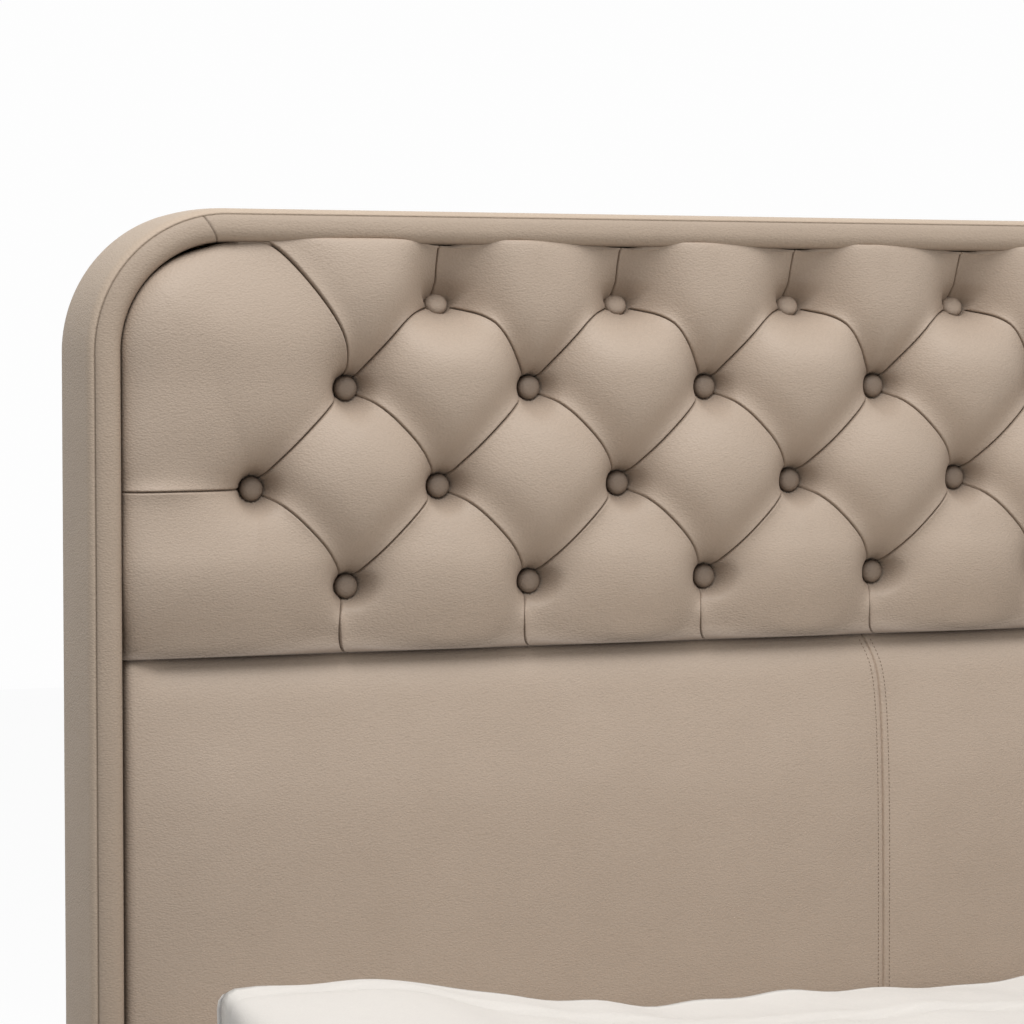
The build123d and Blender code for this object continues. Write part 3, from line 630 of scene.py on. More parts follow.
# ---- tufted band: closed by walls back to the board and a flat back
edges = np.vstack([skin_faces[:, [k, (k + 1) % 4]] for k in range(4)])
ends, uses = np.unique(np.sort(edges, axis=1), axis=0, return_counts=True)
open_ends = {tuple(e) for e in ends[uses == 1]}
after = {a: b for a, b in edges.tolist() if (min(a, b), max(a, b)) in open_ends}
loop = [next(iter(after))]
while after[loop[-1]] != loop[0]:
    loop.append(after[loop[-1]])
back = skin[loop]
back[:, 1] = y_board - 0.2
back_at = len(skin) + np.arange(len(loop))
wall_faces = np.stack([np.roll(loop, -1), loop, back_at, np.roll(back_at, -1)], 1)
padded_piece(
    "tufted_band",
    np.vstack([skin, back]),
    [*skin_faces.tolist(), *wall_faces.tolist(), back_at.tolist()],
    leather,
    ["tufted_pad"],
    fill=0.9,
    painted_shade=np.append(shadow, np.full(len(back), 0.6)),
)


# ---- buttons: a leather cap over a domed blank, with a rolled edge
cap_profile = [(0.01, 6.4), (2.5, 6.3), (5, 6.0), (7.2, 5.3), (9, 4.2), (10.2, 3.0)]
cap_profile += [(10.9, 1.7), (11.2, 0.4), (11.1, -1.2), (10.2, -2.2)]
cap_turns = 40
cap_angles = np.linspace(0, 2 * math.pi, cap_turns, endpoint=False)
knob = np.array([(r * math.cos(a), r * math.sin(a), h) for r, h in cap_profile for a in cap_angles])
knob_faces = grid_faces(len(cap_profile), cap_turns, closed=True)
# painted shade on the cap's rolled edge, where it meets the leather of the pit
rim_dark = 0.4 * np.exp(-(button_radius - np.hypot(knob[:, 0], knob[:, 1])) / 1.2)
button_points, button_faces, button_painted_shade = [], [], []
for row, column in button_places:
    # painted shade: buttons of rows 2 to 4 sit darker in their pits; the tilted top row gets none
    tilt, dark = (top_seat_tilt, 0.0) if row == 1 else (0.0, 0.43)
    turn_round = np.array(Matrix.Rotation(QUARTER - tilt, 3, "X"))
    button_faces.append(knob_faces + len(button_points) * len(knob))
    button_points.append(knob @ turn_round.T + button_at(row, column))
    button_painted_shade.append(dark + rim_dark)
buttons = make_piece(
    "tuft_button_caps",
    np.vstack(button_points),
    np.vstack(button_faces),
    leather,
    "taupe_leather",
    np.concatenate(button_painted_shade),
)
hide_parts("tuft_buttons")


# ---- border: one section carried round the headboard's outline
seam_angle = math.radians(45)
inner_round, outer_round, back_round = 12.0, 18.0, 3.0
back_lap = 18.0
seam_depth, seam_half = 1.4, 0.75
facing_seam_inset = 100.0
facing_slant = math.radians(30.6)
joint_depth, joint_half = 1.1, 0.7
seam_x = half_width - facing_seam_inset
groove_round = corner_radius - border_width


def border_section():
    """Rows (w, y, nw, ny) from the groove over the front to the back, and the first row past the seam."""

    def bend(w, y, radius, angles):
        ways = [(math.cos(a), math.sin(a)) for a in angles]
        return [(w + radius * nw, y + radius * ny, nw, ny) for nw, ny in ways]

    wall = [(0, y, -1, 0) for y in np.linspace(y_board, y_front + inner_round, 6)[:-1]]
    inner = bend(inner_round, y_front + inner_round, inner_round, math.pi + np.linspace(0, QUARTER, 10))
    near_seam = [-3, -2, -1.4, -1, -0.7, -0.4, -0.2, 0, 0.2, 0.4, 0.7, 1, 1.4, 2, 3]
    angles = sorted([*np.linspace(0.08, QUARTER, 12), *(seam_angle + d / outer_round for d in near_seam)])
    outer = bend(inner_round, y_front + outer_round, outer_round, np.array(angles) - QUARTER)
    side = [(border_width, y, 1, 0) for y in np.linspace(y_front + outer_round, y_back - back_round, 12)[1:]]
    back = bend(border_width - back_round, y_back - back_round, back_round, np.linspace(0.3, QUARTER, 4))
    rows = [*wall, *inner, *outer, *side, *back, (border_width - back_lap, y_back, 0, 1)]
    return np.array(rows), len(wall) + len(inner) + angles.index(seam_angle) + 1


section, seam_row = border_section()
run = distances_along(section[:, :2])
from_seam = run - run[seam_row]
puff = -seam_depth * bell(from_seam, seam_half) + 0.5 * bell(np.abs(from_seam) - 4.5, 3.5)
side_span = np.clip((section[:, 1] - y_front - outer_round) / (y_back - y_front - outer_round), 0, 1)
puff += 1.0 * np.sin(side_span * math.pi) * (section[:, 2] > 0.9)
section[:, :2] += puff[:, None] * section[:, 2:]

# the path of the groove's edge as (x, z, nx, nz), up the left side and over to the middle, then mirrored
turn_angles = np.radians(np.concatenate([np.arange(0, 70, 2.0), np.arange(70, 90, 0.32), [90.0]]))
half_path = [(-groove_x, z, -1.0, 0.0) for z in np.linspace(border_bottom, corner_z, 90)[:-1]]
for a in turn_angles:
    nx, nz = -math.cos(a), math.sin(a)
    half_path.append((-corner_x + groove_round * nx, corner_z + groove_round * nz, nx, nz))
half_path += [(x, groove_z, 0.0, 1.0) for x in np.linspace(-corner_x, 0, 70)[1:]]
half_path = np.array(half_path)
mirror = np.array([-1, 1, -1, 1])
path = np.vstack([half_path, half_path[::-1][1:] * mirror])
path_x, path_z, path_nx, path_nz = path.T[:, :, None]
out, y, out_n, y_n = section.T[:, None]
border_points = np.stack(np.broadcast_arrays(path_x + out * path_nx, y, path_z + out * path_nz), 2)
border_normals = np.stack(np.broadcast_arrays(out_n * path_nx, y_n, out_n * path_nz), 2)


def past_joint(points):
    """How far points lie beyond the slanted joint of two facings, seen from the top's middle."""
    across = np.abs(points[..., 0]) - seam_x
    return across * math.cos(facing_slant) - (points[..., 2] - headboard_top) * math.sin(facing_slant)


on_facing = np.arange(len(section)) <= seam_row
dip = joint_depth * bell(past_joint(border_points), joint_half) * on_facing
border_points -= dip[..., None] * border_normals
# the padding is a little uneven along the border
along_path = distances_along(path[:, :2])[:, None]
uneven = 0.28 * np.sin(along_path / 61) * np.sin(along_path / 147 + 1) + 0.2 * np.sin(along_path / 23 + 2)
border_points[..., 1] += uneven * y_n
# painted shade in the seam, at the groove's edge and in the dip of the facing joint
dark_lines = np.maximum(0.8 * bell(from_seam, 0.9), bell(np.maximum(out, 0), 1.5))
border_painted_shade = 0.6 * np.maximum(dip / joint_depth, dark_lines).reshape(-1)

border_points = border_points.reshape(-1, 3)
border_faces = grid_faces(len(path), len(section))
face_middle = border_points[border_faces].mean(1)
in_facing = border_faces[:, 0] % len(section) < seam_row
at_side = past_joint(face_middle) > 0
to_left = face_middle[:, 0] < 0
parts = {
    "border_strip_left": (in_facing & at_side & to_left, ["border_facing_left"]),
    "border_strip_right": (in_facing & at_side & ~to_left, ["border_facing_right"]),
    "border_strip_top": (in_facing & ~at_side, ["border_facing_top", "border_wadding"]),
    "border_side": (~in_facing, ["border_boxing"]),
}
for name, (chosen, stands_for) in parts.items():
    used, index = np.unique(border_faces[chosen], return_inverse=True)
    # the darker copy (painted shade) goes on the facings, the lighter copy (painted light) on the boxing
    material = lit_side_leather if name == "border_side" else shaded_strip_leather
    faces = index.reshape(-1, 4)
    padded_piece(name, border_points[used], faces, material, stands_for, painted_shade=border_painted_shade[used])


# ---- lower panel: two lightly padded covers that meet in a stitched seam
stitch_offset = 6.0
near_stitches = [4.6, 5.2, 5.6, stitch_offset, 6.4, 6.8, 7.6]
near_seam = np.array([0, 0.25, 0.5, 0.8, 1.2, 1.8, 2.6, 3.6, *near_stitches, 9, 12, 17, 24])
fine_from = band_bottom - 130
low_rows, top_rows = np.arange(panel_bottom, fine_from, 9.0), np.linspace(fine_from, band_bottom - 0.5, 44)
panel_rows = np.concatenate([low_rows, top_rows])
edge_round = 10.0


def seam_x_at(z):
    """The centre seam is dragged to the left just under the tufted band."""
    below = np.maximum(band_bottom - z, 0)
    return -13.0 * np.exp(-below / 26) - 8.0 * np.exp(-below / 120)


def panel_half(sign):
    """Rows of points from the groove's wall to the seam."""
    wall = [(pad_x, y_board), (pad_x, y_panel + 24), (pad_x, y_panel + edge_round)]
    wall += arc_points(pad_x - edge_round, y_panel + edge_round, edge_round, 0, -QUARTER, 7)[1:]
    wall = np.array(wall)
    rows = []
    for z in panel_rows:
        seam = sign * seam_x_at(z)
        flat = np.linspace(pad_x - edge_round, seam + near_seam[-1], 60)[1:-1]
        x = np.concatenate([wall[:, 0], flat, seam + near_seam[::-1]])
        y = np.concatenate([wall[:, 1], np.full(len(flat) + len(near_seam), y_panel)])
        d = x - seam
        reach = np.clip((pad_x - x) / 90, 0, 1) * np.clip(d / 70, 0, 1) ** 0.7
        hump = smoothstep((band_bottom - z) / 150) * (0.25 + 0.75 * smoothstep((z - 480) / 260))
        puff = 9.5 * smoothstep(reach) ** 0.7 * hump
        puff *= 1 + 0.12 * np.sin(x / 97 + sign) + 0.1 * np.sin(z / 71 + x / 160)
        puff -= 10.0 * bell(band_bottom - z, 22.0) * smoothstep((pad_x - x) / 40)
        groove = 1.6 * bell(d, 0.8) + 0.12 * bell(d - stitch_offset, 0.8) - 0.25 * bell(d - 3, 1.6)
        groove *= d < 30
        rows.append(np.stack([sign * x, y - puff * (y < y_panel + 1) + groove, np.full_like(x, z)], 1))
    return np.array(rows)


def panel_shade(points):
    """Painted shade: darker close under the band, in a scallop under each pillow, at the border and towards
    the bedding.
    """
    below = band_bottom - points[..., 2]
    pillow = (points[..., 0] - first_column - 0.5 * button_pitch + 14) / button_pitch
    scallop = np.abs(np.sin(pillow * math.pi)) ** 0.7
    shade = 0.75 * bell(below, 4.0) + 0.3 * scallop * bell(below, 18.0) + 0.1 * smoothstep((below - 60) / 260)
    return np.maximum(shade, 0.7 * bell(pad_x - np.abs(points[..., 0]), 3.0))


def stitch_row(name, line, outward, length, pitch, radius, material=thread, slot="taupe_leather"):
    """Short sunken stitches along a line of points; outward is the way the leather faces."""
    line = np.asarray(line, float)
    outward = np.asarray(outward, float)
    at_point = distances_along(line)
    turns, rings = 6, (-1.0, -0.8, -0.3, 0.3, 0.8, 1.0)
    points, faces = [], []

    def point_at(s):
        return np.array([np.interp(s, at_point, line[:, k]) for k in range(3)])

    for s in np.arange(pitch, at_point[-1] - pitch / 2, pitch):
        place = point_at(s)
        along = point_at(s + 0.5) - place
        along /= np.linalg.norm(along)
        cross = np.cross(along, outward)
        faces.append(grid_faces(len(rings), turns, len(points), closed=True))
        for r in rings:
            thick = radius * (1 - abs(r) ** 4) ** 0.5 + 0.02
            middle = place + along * r * length / 2 + outward * radius * (0.6 - 0.9 * r * r)
            for a in np.arange(turns) * 2 * math.pi / turns:
                points.append(middle + thick * (math.cos(a) * cross + math.sin(a) * outward))
    make_piece(name, points, np.vstack(faces), material, slot)


sides = ((-1, "left"), (1, "right"))
for sign, name in sides:
    cover = panel_half(sign)
    faces = grid_faces(*cover.shape[:2])
    if sign < 0:
        faces = faces[:, ::-1]
    shade = panel_shade(cover).reshape(-1)
    stands_for = ["lower_cover_" + name] + (["lower_foam"] if sign < 0 else [])
    padded_piece("panel_cover_" + name, cover.reshape(-1, 3), faces, leather, stands_for, painted_shade=shade)
stitch_column = -1 - list(near_seam).index(stitch_offset)
for sign, name in sides:
    line = panel_half(sign)[:, stitch_column]
    line = line[(line[:, 2] > panel_bottom + 4) & (line[:, 2] < band_bottom - 1)]
    stitch_row("seam_stitches_" + name, line, (0, -1, 0), length=2.5, pitch=3.8, radius=0.33)


# ---- rail covers: leather over thin padding, closed round the timber cores
cover_low, cover_high = edges_of("side_rail_cover_left")
core_low, core_high = edges_of("side_rail_left")
foot_low, foot_high = edges_of("foot_rail_cover")
core_outer, core_inner = -core_low[0], -core_high[0]
rail_low, rail_top = cover_low[2], cover_high[2]
core_bottom, core_top = core_low[2], core_high[2]
rail_middle = 205.0
rail_edge = 9.0
foot_round = 30.0
rail_pull = 1.6


def cover_face(count):
    """(inset, z) from the inner top edge over the outer face to the inner bottom edge, with a soft belly."""
    rows = arc_points(rail_edge, rail_top - rail_edge, rail_edge, QUARTER, math.pi, 8)
    rows += [(0.0, z) for z in np.linspace(rail_top - rail_edge, rail_low + rail_edge, count)[1:-1]]
    rows += arc_points(rail_edge, rail_low + rail_edge, rail_edge, math.pi, 3 * QUARTER, 8)
    rows = np.array(rows)
    t = np.clip((rows[:, 1] - rail_low) / (rail_top - rail_low), 0, 1)
    rows[:, 0] -= 1.6 * np.sin(t * math.pi) ** 0.6
    rows[:, 0] += 0.9 * bell(rows[:, 1] - (rail_top - 22), 2.6)
    return rows


def closed_cover(name, rings, turned=False):
    """A tube of rings with both ends filled."""
    rings = np.array(rings)
    count = rings.shape[1]
    last = (len(rings) - 1) * count
    faces = grid_faces(len(rings), count, closed=True).tolist()
    faces += [list(range(count))[::-1], list(range(last, last + count))]
    if turned:
        faces = [f[::-1] for f in faces]
    stands_for = name.replace("leather", "cover")
    padded_piece(name, rings.reshape(-1, 3), faces, leather, [stands_for])


face_rows = cover_face(60)
soft_ends = np.array([0, 0.6, 1.6, 3.0, 5.0])
long_run = np.linspace(cover_low[1] + 12, cover_high[1] - 12, 150)
cover_y = np.concatenate([cover_low[1] + soft_ends, long_run, cover_high[1] - soft_ends[::-1]])
for sign, name in sides:
    rings = []
    for y in cover_y:
        pinch = rail_pull * math.exp(-min(y - cover_low[1], cover_high[1] - y) / 1.8)
        wave = 0.5 * math.sin(y / 83) * math.sin(y / 211 + 1) + 0.25 * math.sin(y / 37 + 2)
        loop = []
        for i, z in face_rows:
            out = half_width - i - pinch - wave * (-3 < i < 1)
            loop.append((out, z - np.sign(z - rail_middle) * pinch * (i > 0.5)))
        loop += [(core_inner, rail_low + pinch), (core_inner, core_bottom), (core_outer, core_bottom)]
        loop += [(core_outer, core_top), (core_inner, core_top), (core_inner, rail_top - pinch)]
        rings.append([(sign * x, y, z) for x, z in loop])
    closed_cover("side_rail_leather_" + name, rings, turned=sign > 0)

foot_turn = (foot_round - half_width, foot_low[1] + foot_round)
foot_path = [(-half_width, foot_high[1], -1, 0)]
for a in np.linspace(0, QUARTER, 16):
    nx, ny = -math.cos(a), -math.sin(a)
    foot_path.append((foot_turn[0] + foot_round * nx, foot_turn[1] + foot_round * ny, nx, ny))
foot_path += [(x, foot_low[1], 0, -1) for x in np.linspace(foot_turn[0], 0, 60)[1:]]
foot_path = np.array(foot_path)
foot_path = np.vstack([foot_path, foot_path[::-1][1:] * mirror])
foot_core = edges_of("foot_rail")[1][0]
foot_back = foot_high[1]
core_inset = 10.0
rings = []
for x, y, nx, ny in foot_path:
    wave = 0.5 * math.sin(x / 83) * math.sin(x / 191 + 1)
    ring = []
    for i, z in face_rows:
        depth = i + wave * (i < 0)
        ring.append((x - nx * depth, min(y - ny * depth, foot_back), z))
    back_x = float(np.clip(x, -foot_core, foot_core))
    cx, cy = x - nx * core_inset, foot_back if ny == 0 else y - ny * core_inset
    ring += [(back_x, foot_back, rail_low), (back_x, foot_back, core_bottom), (cx, cy, core_bottom)]
    ring += [(cx, cy, core_top), (back_x, foot_back, core_top), (back_x, foot_back, rail_top)]
    rings.append(ring)
closed_cover("foot_rail_leather", rings)

# top stitching along the rails, just under their upper seam
stitch_height = rail_top - 29.0
stitch_out = 0.9
rail_stitches = {"length": 3.4, "pitch": 5.0, "radius": 0.4}
stitched_run = (cover_low[1] + 14, cover_high[1] - 14)
for sign, name in sides:
    line = [(sign * (half_width + stitch_out), y, stitch_height) for y in stitched_run]
    stitch_row("side_rail_stitches_" + name, line, (sign, 0, 0), **rail_stitches)
line = [(sign * (half_width - foot_round), foot_low[1] - stitch_out, stitch_height) for sign in (-1, 1)]
stitch_row("foot_rail_stitches", line, (0, -1, 0), **rail_stitches)


# ---- woven cloths
def weave_material(name, dark, light, thread_mm, roughness, raise_mm, crumple_mm=0.0):
    """A plain weave of fine threads, with a little softness between them."""
    n = Material(name, roughness, Specular_IOR_Level=0.3, Sheen_Weight=0.25, Sheen_Roughness=0.5)
    warp = n.noise((0.6 * thread_mm, 9 * thread_mm, 3 * thread_mm))
    weft = n.noise((9 * thread_mm, 0.6 * thread_mm, 0.6 * thread_mm))
    cross = n.math("MULTIPLY", warp, weft)
    tint = n.weighted((cross, 0.7), (n.noise((160, 190, 160)), 0.2))
    tint = n.ramp(tint, (0.1, colour(*dark)), (0.5, colour(*light)))
    soft_folds = n.bump(n.noise((46, 60, 46), 3.0, 1.2), crumple_mm, 0.6)
    return n.finish(tint, n.bump(cross, raise_mm, 0.5, soft_folds))


duvet_cloth = weave_material("duvet_cotton", (232, 226, 219), (244, 239, 232), 0.45, 0.85, 0.12, 1.6)
sheet_cloth = weave_material("sheet_cotton", (226, 221, 214), (238, 234, 228), 0.4, 0.8, 0.1, 0.8)
ticking_cloth = weave_material("ticking", (200, 196, 190), (224, 221, 216), 0.7, 0.85, 0.25)
backing_cloth = weave_material("backing", (34, 33, 34), (52, 51, 52), 0.8, 0.9, 0.2)


# ---- mattress and its fitted sheet: rings from the middle of the top outwards
mattress_low, mattress_high = edges_of("mattress")
sheet_low, sheet_high = edges_of("fitted_sheet")
mattress_bottom, mattress_top = mattress_low[2], mattress_high[2]
mattress_reach = mattress_high[0]
mattress_round = 22.0
mattress_tuck = 1.5
sheet_gap = 0.9


def ring_of(inset, z, half_x, low_y, high_y, corner, across=78, along=96, arc=7):
    """A rounded rectangle's points at one height, set in from the outside."""
    x = max(half_x - inset, 0.0)
    r = max(corner - inset, 0.0)
    low, high = low_y + inset + r, high_y - inset - r
    centres = ((x - r, low), (x - r, high), (r - x, high), (r - x, low))
    turns = [np.array(arc_points(*c, r, (k - 1) * QUARTER, k * QUARTER, arc)) for k, c in enumerate(centres)]
    points = []
    for k, turn in enumerate(turns):
        steps_in = (across if k % 2 else along) + 1
        points += [*turn, *np.linspace(turn[-1], turns[(k + 1) % 4][0], steps_in)[1:-1]]
    return np.column_stack([points, np.full(len(points), z)])


def rounded_box(rows, half_x, low_y, high_y, corner):
    """Points and faces of rings given as (inset, z)."""
    rings = [ring_of(i, z, half_x, low_y, high_y, corner) for i, z in rows]
    return np.vstack(rings), grid_faces(len(rings), len(rings[0]), closed=True)


def shoulder(top, edge):
    """The rounded step from a flat top down to the side."""
    return arc_points(edge, top - edge, edge, QUARTER, math.pi, 8)[1:]


side_top, side_bottom = mattress_top - mattress_round, mattress_bottom + mattress_round
rows = [(i, mattress_top) for i in np.linspace(mattress_reach, mattress_round, 24)]
rows += shoulder(mattress_top, mattress_round)
for z in np.linspace(side_top, side_bottom, 26)[1:]:
    rows.append((mattress_tuck * math.sin(math.pi * (side_top - z) / (side_top - side_bottom)), z))
rows += arc_points(mattress_round, side_bottom, mattress_round, math.pi, 3 * QUARTER, 8)[1:]
rows += [(i, mattress_bottom) for i in np.linspace(mattress_round, mattress_reach, 16)[1:]]
points, faces = rounded_box(rows, mattress_reach, mattress_low[1], mattress_high[1], mattress_round)
x, z = points[:, 0], points[:, 2]
diagonal_run = x + points[:, 1]
quilt = 1.2 * np.abs(np.sin((diagonal_run + z) / 38)) * np.abs(np.sin((diagonal_run - z) / 38))
on_side = (z > mattress_bottom + 24) & (z < mattress_top - 24) & (np.abs(x) > mattress_reach - 10)
points[:, 0] -= np.sign(x) * (1.3 - quilt) * on_side
mesh = welded(points, faces)
padded_piece("mattress_body", *mesh, ticking_cloth, ["mattress"], slot="mattress_ticking", fill=0.9)

over_mattress = mattress_top + sheet_gap
rows = [(i, over_mattress) for i in np.linspace(mattress_reach, mattress_round, 60)]
rows += shoulder(over_mattress, mattress_round)
rows += [(0, z) for z in np.linspace(side_top, sheet_low[2], 24)[1:]]
sheet_reach = (sheet_high[0] - 0.3, sheet_low[1] + 0.3, sheet_high[1] - 0.3)
sheet_mesh = welded(*rounded_box(rows, *sheet_reach, mattress_round + sheet_gap))
sheet_piece = make_piece("fitted_sheet_cloth", *sheet_mesh, sheet_cloth, "cotton_sheet")
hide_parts("fitted_sheet")


# ---- duvet: one grid laid over the mattress, with a rounded drop all round and a folded-back head edge
duvet_low, duvet_high = edges_of("duvet")
duvet_half, duvet_head, hem = duvet_high[0], duvet_high[1], duvet_low[2]
duvet_loft = 41.0
duvet_top = sheet_high[2] + duvet_loft
duvet_round, lining_round = 26.0, 5.0
duvet_thick, lining_gap = 38.0, 0.6
head_gap, head_run = 17.0, 60.0
fold_width, fold_thick = 330.0, 42.0
round_run = duvet_round * QUARTER
duvet_drop = round_run + duvet_top - duvet_round - hem
half_top = duvet_half - duvet_round
top_length = duvet_head - duvet_low[1] - duvet_round

drop_steps = np.linspace(0, duvet_drop, 24)
s_side = half_top + drop_steps[1:]
s_steps = np.concatenate([-s_side[::-1], np.linspace(-half_top, half_top, 140), s_side])
near_fold = fold_width + np.array([-30, -22, -16, -12, -9, -6, -4, -2, 0, 2, 4, 7, 11, 16, 24])
head_steps = np.arange(0, fold_width - 36, 9.0)
foot_steps = np.arange(fold_width + 34, top_length - 6, 13.0)
t_steps = np.concatenate([head_steps, near_fold, foot_steps, top_length + drop_steps])
# s runs across and t from head to foot, both in millimetres of cloth
s, t = np.meshgrid(s_steps, t_steps)
past_side = np.maximum(np.abs(s) - half_top, 0)
past_foot = np.maximum(t - top_length, 0)
past_edge = np.maximum(past_side, past_foot)
fall = np.clip((past_edge - round_run) / (duvet_drop - round_run), 0, 1)


def draped(half_x, foot, top, edge):
    """Points and normals of the cloth over a box, rounded at its edges and hanging down to the hem."""
    angle = np.arctan2(past_foot, np.maximum(past_side, 1e-9))
    away_x, away_y = np.sign(s) * np.cos(angle), -np.sin(angle) * (past_foot > 0)
    turn = np.minimum(past_edge / round_run, 1) * QUARTER
    square = 1 - 0.6 * bell(t, 110)
    out = edge * np.sin(turn) ** square
    x = np.sign(s) * np.minimum(np.abs(s), half_top) * (half_x - edge) / half_top + out * away_x
    y = duvet_head - np.minimum(t, top_length) * (duvet_head - foot - edge) / top_length + out * away_y
    z = top - edge + edge * np.cos(turn) ** square - fall * (top - edge - hem)
    normal = np.stack([away_x * np.sin(turn), away_y * np.sin(turn), np.cos(turn)], 2)
    return np.stack([x, y, z], 2), normal


def ripple(a, b, *waves):
    """An uneven surface from a few crossing waves, each (length along a, length along b, size, start)."""
    total = 0.0
    for length_a, length_b, size, start in waves:
        drift = 1.4 * np.sin(2 * math.pi * b / 530 + start)
        total = total + size * np.sin(2 * math.pi * (a / length_a + b / length_b) + start + drift)
    return total


def crest(x):
    """How far the folded head edge stands above its middle: it is fuller at both ends."""
    left = smoothstep((-x - 455) / 250)
    right = smoothstep((x - 470) / 270)
    return 6.0 + 38.0 * left + 30.0 * right + 4.0 * bell(x + 470, 60) + 1.2 * np.sin(x / 13.0) * (1 - left)


outer, normal = draped(duvet_half, duvet_low[1], duvet_top, duvet_round)
lining_half, lining_foot = duvet_half - duvet_thick + 2, duvet_low[1] + duvet_thick + 2
inner, _ = draped(lining_half, lining_foot, sheet_high[2] + lining_gap, lining_round)
from_fold = t - fold_width
lip = 0.5 - 0.5 * np.tanh((from_fold + 7) / 5)
fold_top = (fold_thick + crest(outer[..., 0]) * np.clip(1 - t / fold_width, 0, 1) ** 0.8) * lip
crease = 6.0 * bell(from_fold - 1, 4.5)
swell_waves = (
    (610, 900, 3.0, 0.3),
    (-380, 520, 2.4, 1.9),
    (240, -330, 1.6, 4.0),
    (150, 410, 0.9, 2.2),
    (-95, 260, 0.6, 0.5),
)
swell = ripple(s, t, *swell_waves)
# a second, slanting fold close to the head edge
from_second = t - 42 - (s + 653) * 0.2
swell += (1.8 * bell(from_second + 14, 11.0) - 3.2 * bell(from_second, 6.0)) * (s < 250) * lip
# one length along the hem: down the side, round the corner, then in along the foot
round_corner = np.arctan2(past_foot, np.maximum(past_side, 1e-9)) * 80
perimeter = np.minimum(t, top_length) + round_corner + half_top - np.minimum(np.abs(s), half_top)
hang_waves = ((173, math.inf, 4.2, 0.4), (262, math.inf, 3.4, 2.1), (97, math.inf, 1.7, 1.1))
hang = ripple(perimeter, 0.0, *hang_waves)
move = 4.0 * lip * (1 - fall) - crease + swell * (1 - 0.7 * fall) + hang * fall**0.8 - 2.0 * fall
outer += normal * move[..., None]
hem_wave = (7.0 * np.sin(perimeter / 71.0) + 5.0 * np.sin(perimeter / 29.0 + 1)) * fall**2
outer[..., 2] += fold_top * (1 - fall) + hem_wave
inner[..., 2] += hem_wave
rows, columns = s.shape


def loop_of(grid):
    """The grid's open boundary: head edge, then the hem down one side, round the foot and back."""
    return np.vstack([grid[0, :], grid[1:, -1], grid[-1, -2::-1], grid[-2:0:-1, 0]])


# the rolled rim between the outer and the inner cloth bulges outwards at the head and down at the hem
outer_loop, inner_loop = loop_of(outer), loop_of(inner)
across = inner_loop - outer_loop
away = np.zeros_like(across)
away[:columns, 1] = 1.0
away[columns - 1 :, 2] = -1.0
away[0, 2] = -1.0
away /= np.linalg.norm(away, axis=1)[:, None]
roll = away * np.linalg.norm(across, axis=1)[:, None] * 0.45
middle = (outer_loop + inner_loop) / 2
turns = np.linspace(0, math.pi, 9)[1:-1]
rims = [middle - across / 2 * math.cos(a) + roll * math.sin(a) for a in turns]
points = np.vstack([outer.reshape(-1, 3), inner.reshape(-1, 3), *rims])
# the rolled head edge keeps clear of the headboard
points[:, 1] -= head_gap * np.clip((points[:, 1] - duvet_head + head_run) / head_run, 0, 2)
one_side = rows * columns
loop_index = loop_of(np.arange(one_side).reshape(rows, columns, 1))[:, 0]
rim_index = np.arange(len(loop_index))
loops = [loop_index, *(2 * one_side + k * len(rim_index) + rim_index for k in range(len(rims)))]
loops.append(loop_index + one_side)
faces = [grid_faces(rows, columns)[:, ::-1], grid_faces(rows, columns, one_side)]
for one, two in zip(loops, loops[1:]):
    faces.append(np.stack([one, two, np.roll(two, -1), np.roll(one, -1)], 1))
padded_piece("duvet_cloth", points, np.vstack(faces), duvet_cloth, ["duvet"], slot="cotton_duvet", fill=0.5)


# ---- back cover: cloth stapled over the frame, drawn in a little between the timbers
back_low, back_high = edges_of("headboard_back_cover")
back_half, back_face, back_top = back_high
corner_in = corner_radius - (half_width - back_half)
turn_x, turn_z = back_half - corner_in, back_top - corner_in
columns, rows = 120, 90
x, z = np.meshgrid(np.linspace(back_low[0], back_half, columns), np.linspace(back_low[2], back_top, rows))
over_x = np.maximum(np.abs(x) - turn_x, 0)
over_z = np.maximum(z - turn_z, 0)
both = np.hypot(over_x, over_z)
pull = np.where(both > 1e-6, np.maximum(over_x, over_z) / np.maximum(both, 1e-6), 1.0)
x = np.sign(x) * (np.minimum(np.abs(x), turn_x) + over_x * pull)
z = np.minimum(z, turn_z) + over_z * pull
from_edge = np.minimum.reduce([back_half - np.abs(x), back_top - z, z - back_low[2]])
drawn = 0.6 * smoothstep(from_edge / 140) + 0.175 * np.sin(x / 24) * np.exp(-np.maximum(from_edge, 0) / 18)
points = np.stack([x, back_face - 0.2 - drawn, z], 2).reshape(-1, 3)
faces = grid_faces(rows, columns)[:, ::-1]
back_piece = make_piece("back_cloth", points, faces, backing_cloth, "backing_cloth")
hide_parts("headboard_back_cover")


# ---- finishes of the frame, base and hardware
def wood_material(name, run, dark, light, ring_mm, roughness, fleck=0.0):
    """Planed wood: growth rings drawn out along the run axis, fine fibres, and flecks where it has them."""
    n = Material(name, roughness, Specular_IOR_Level=0.35)

    def drawn(along, across):
        return [along if axis == run else across for axis in range(3)]

    rings = n.math("FRACT", n.math("MULTIPLY", n.noise(drawn(620, ring_mm * 2.4), 2.0, 0.6), 9.0))
    fibres = n.noise(drawn(60, 0.9), 3.0)
    shade = n.weighted((rings, 0.34), (fibres, 0.5), (n.noise((90, 90, 90)), 0.2))
    if fleck:
        spots = n.math("GREATER_THAN", n.noise(drawn(5, 0.7), 0.0), 0.66)
        shade = n.math("ADD", shade, n.math("MULTIPLY", spots, -fleck))
    rough = n.math("ADD", n.math("MULTIPLY", fibres, 0.14), roughness - 0.07)
    tint = n.ramp(shade, (0.2, colour(*dark)), (0.85, colour(*light)))
    return n.finish(tint, n.bump(fibres, 0.12, 0.6), rough)


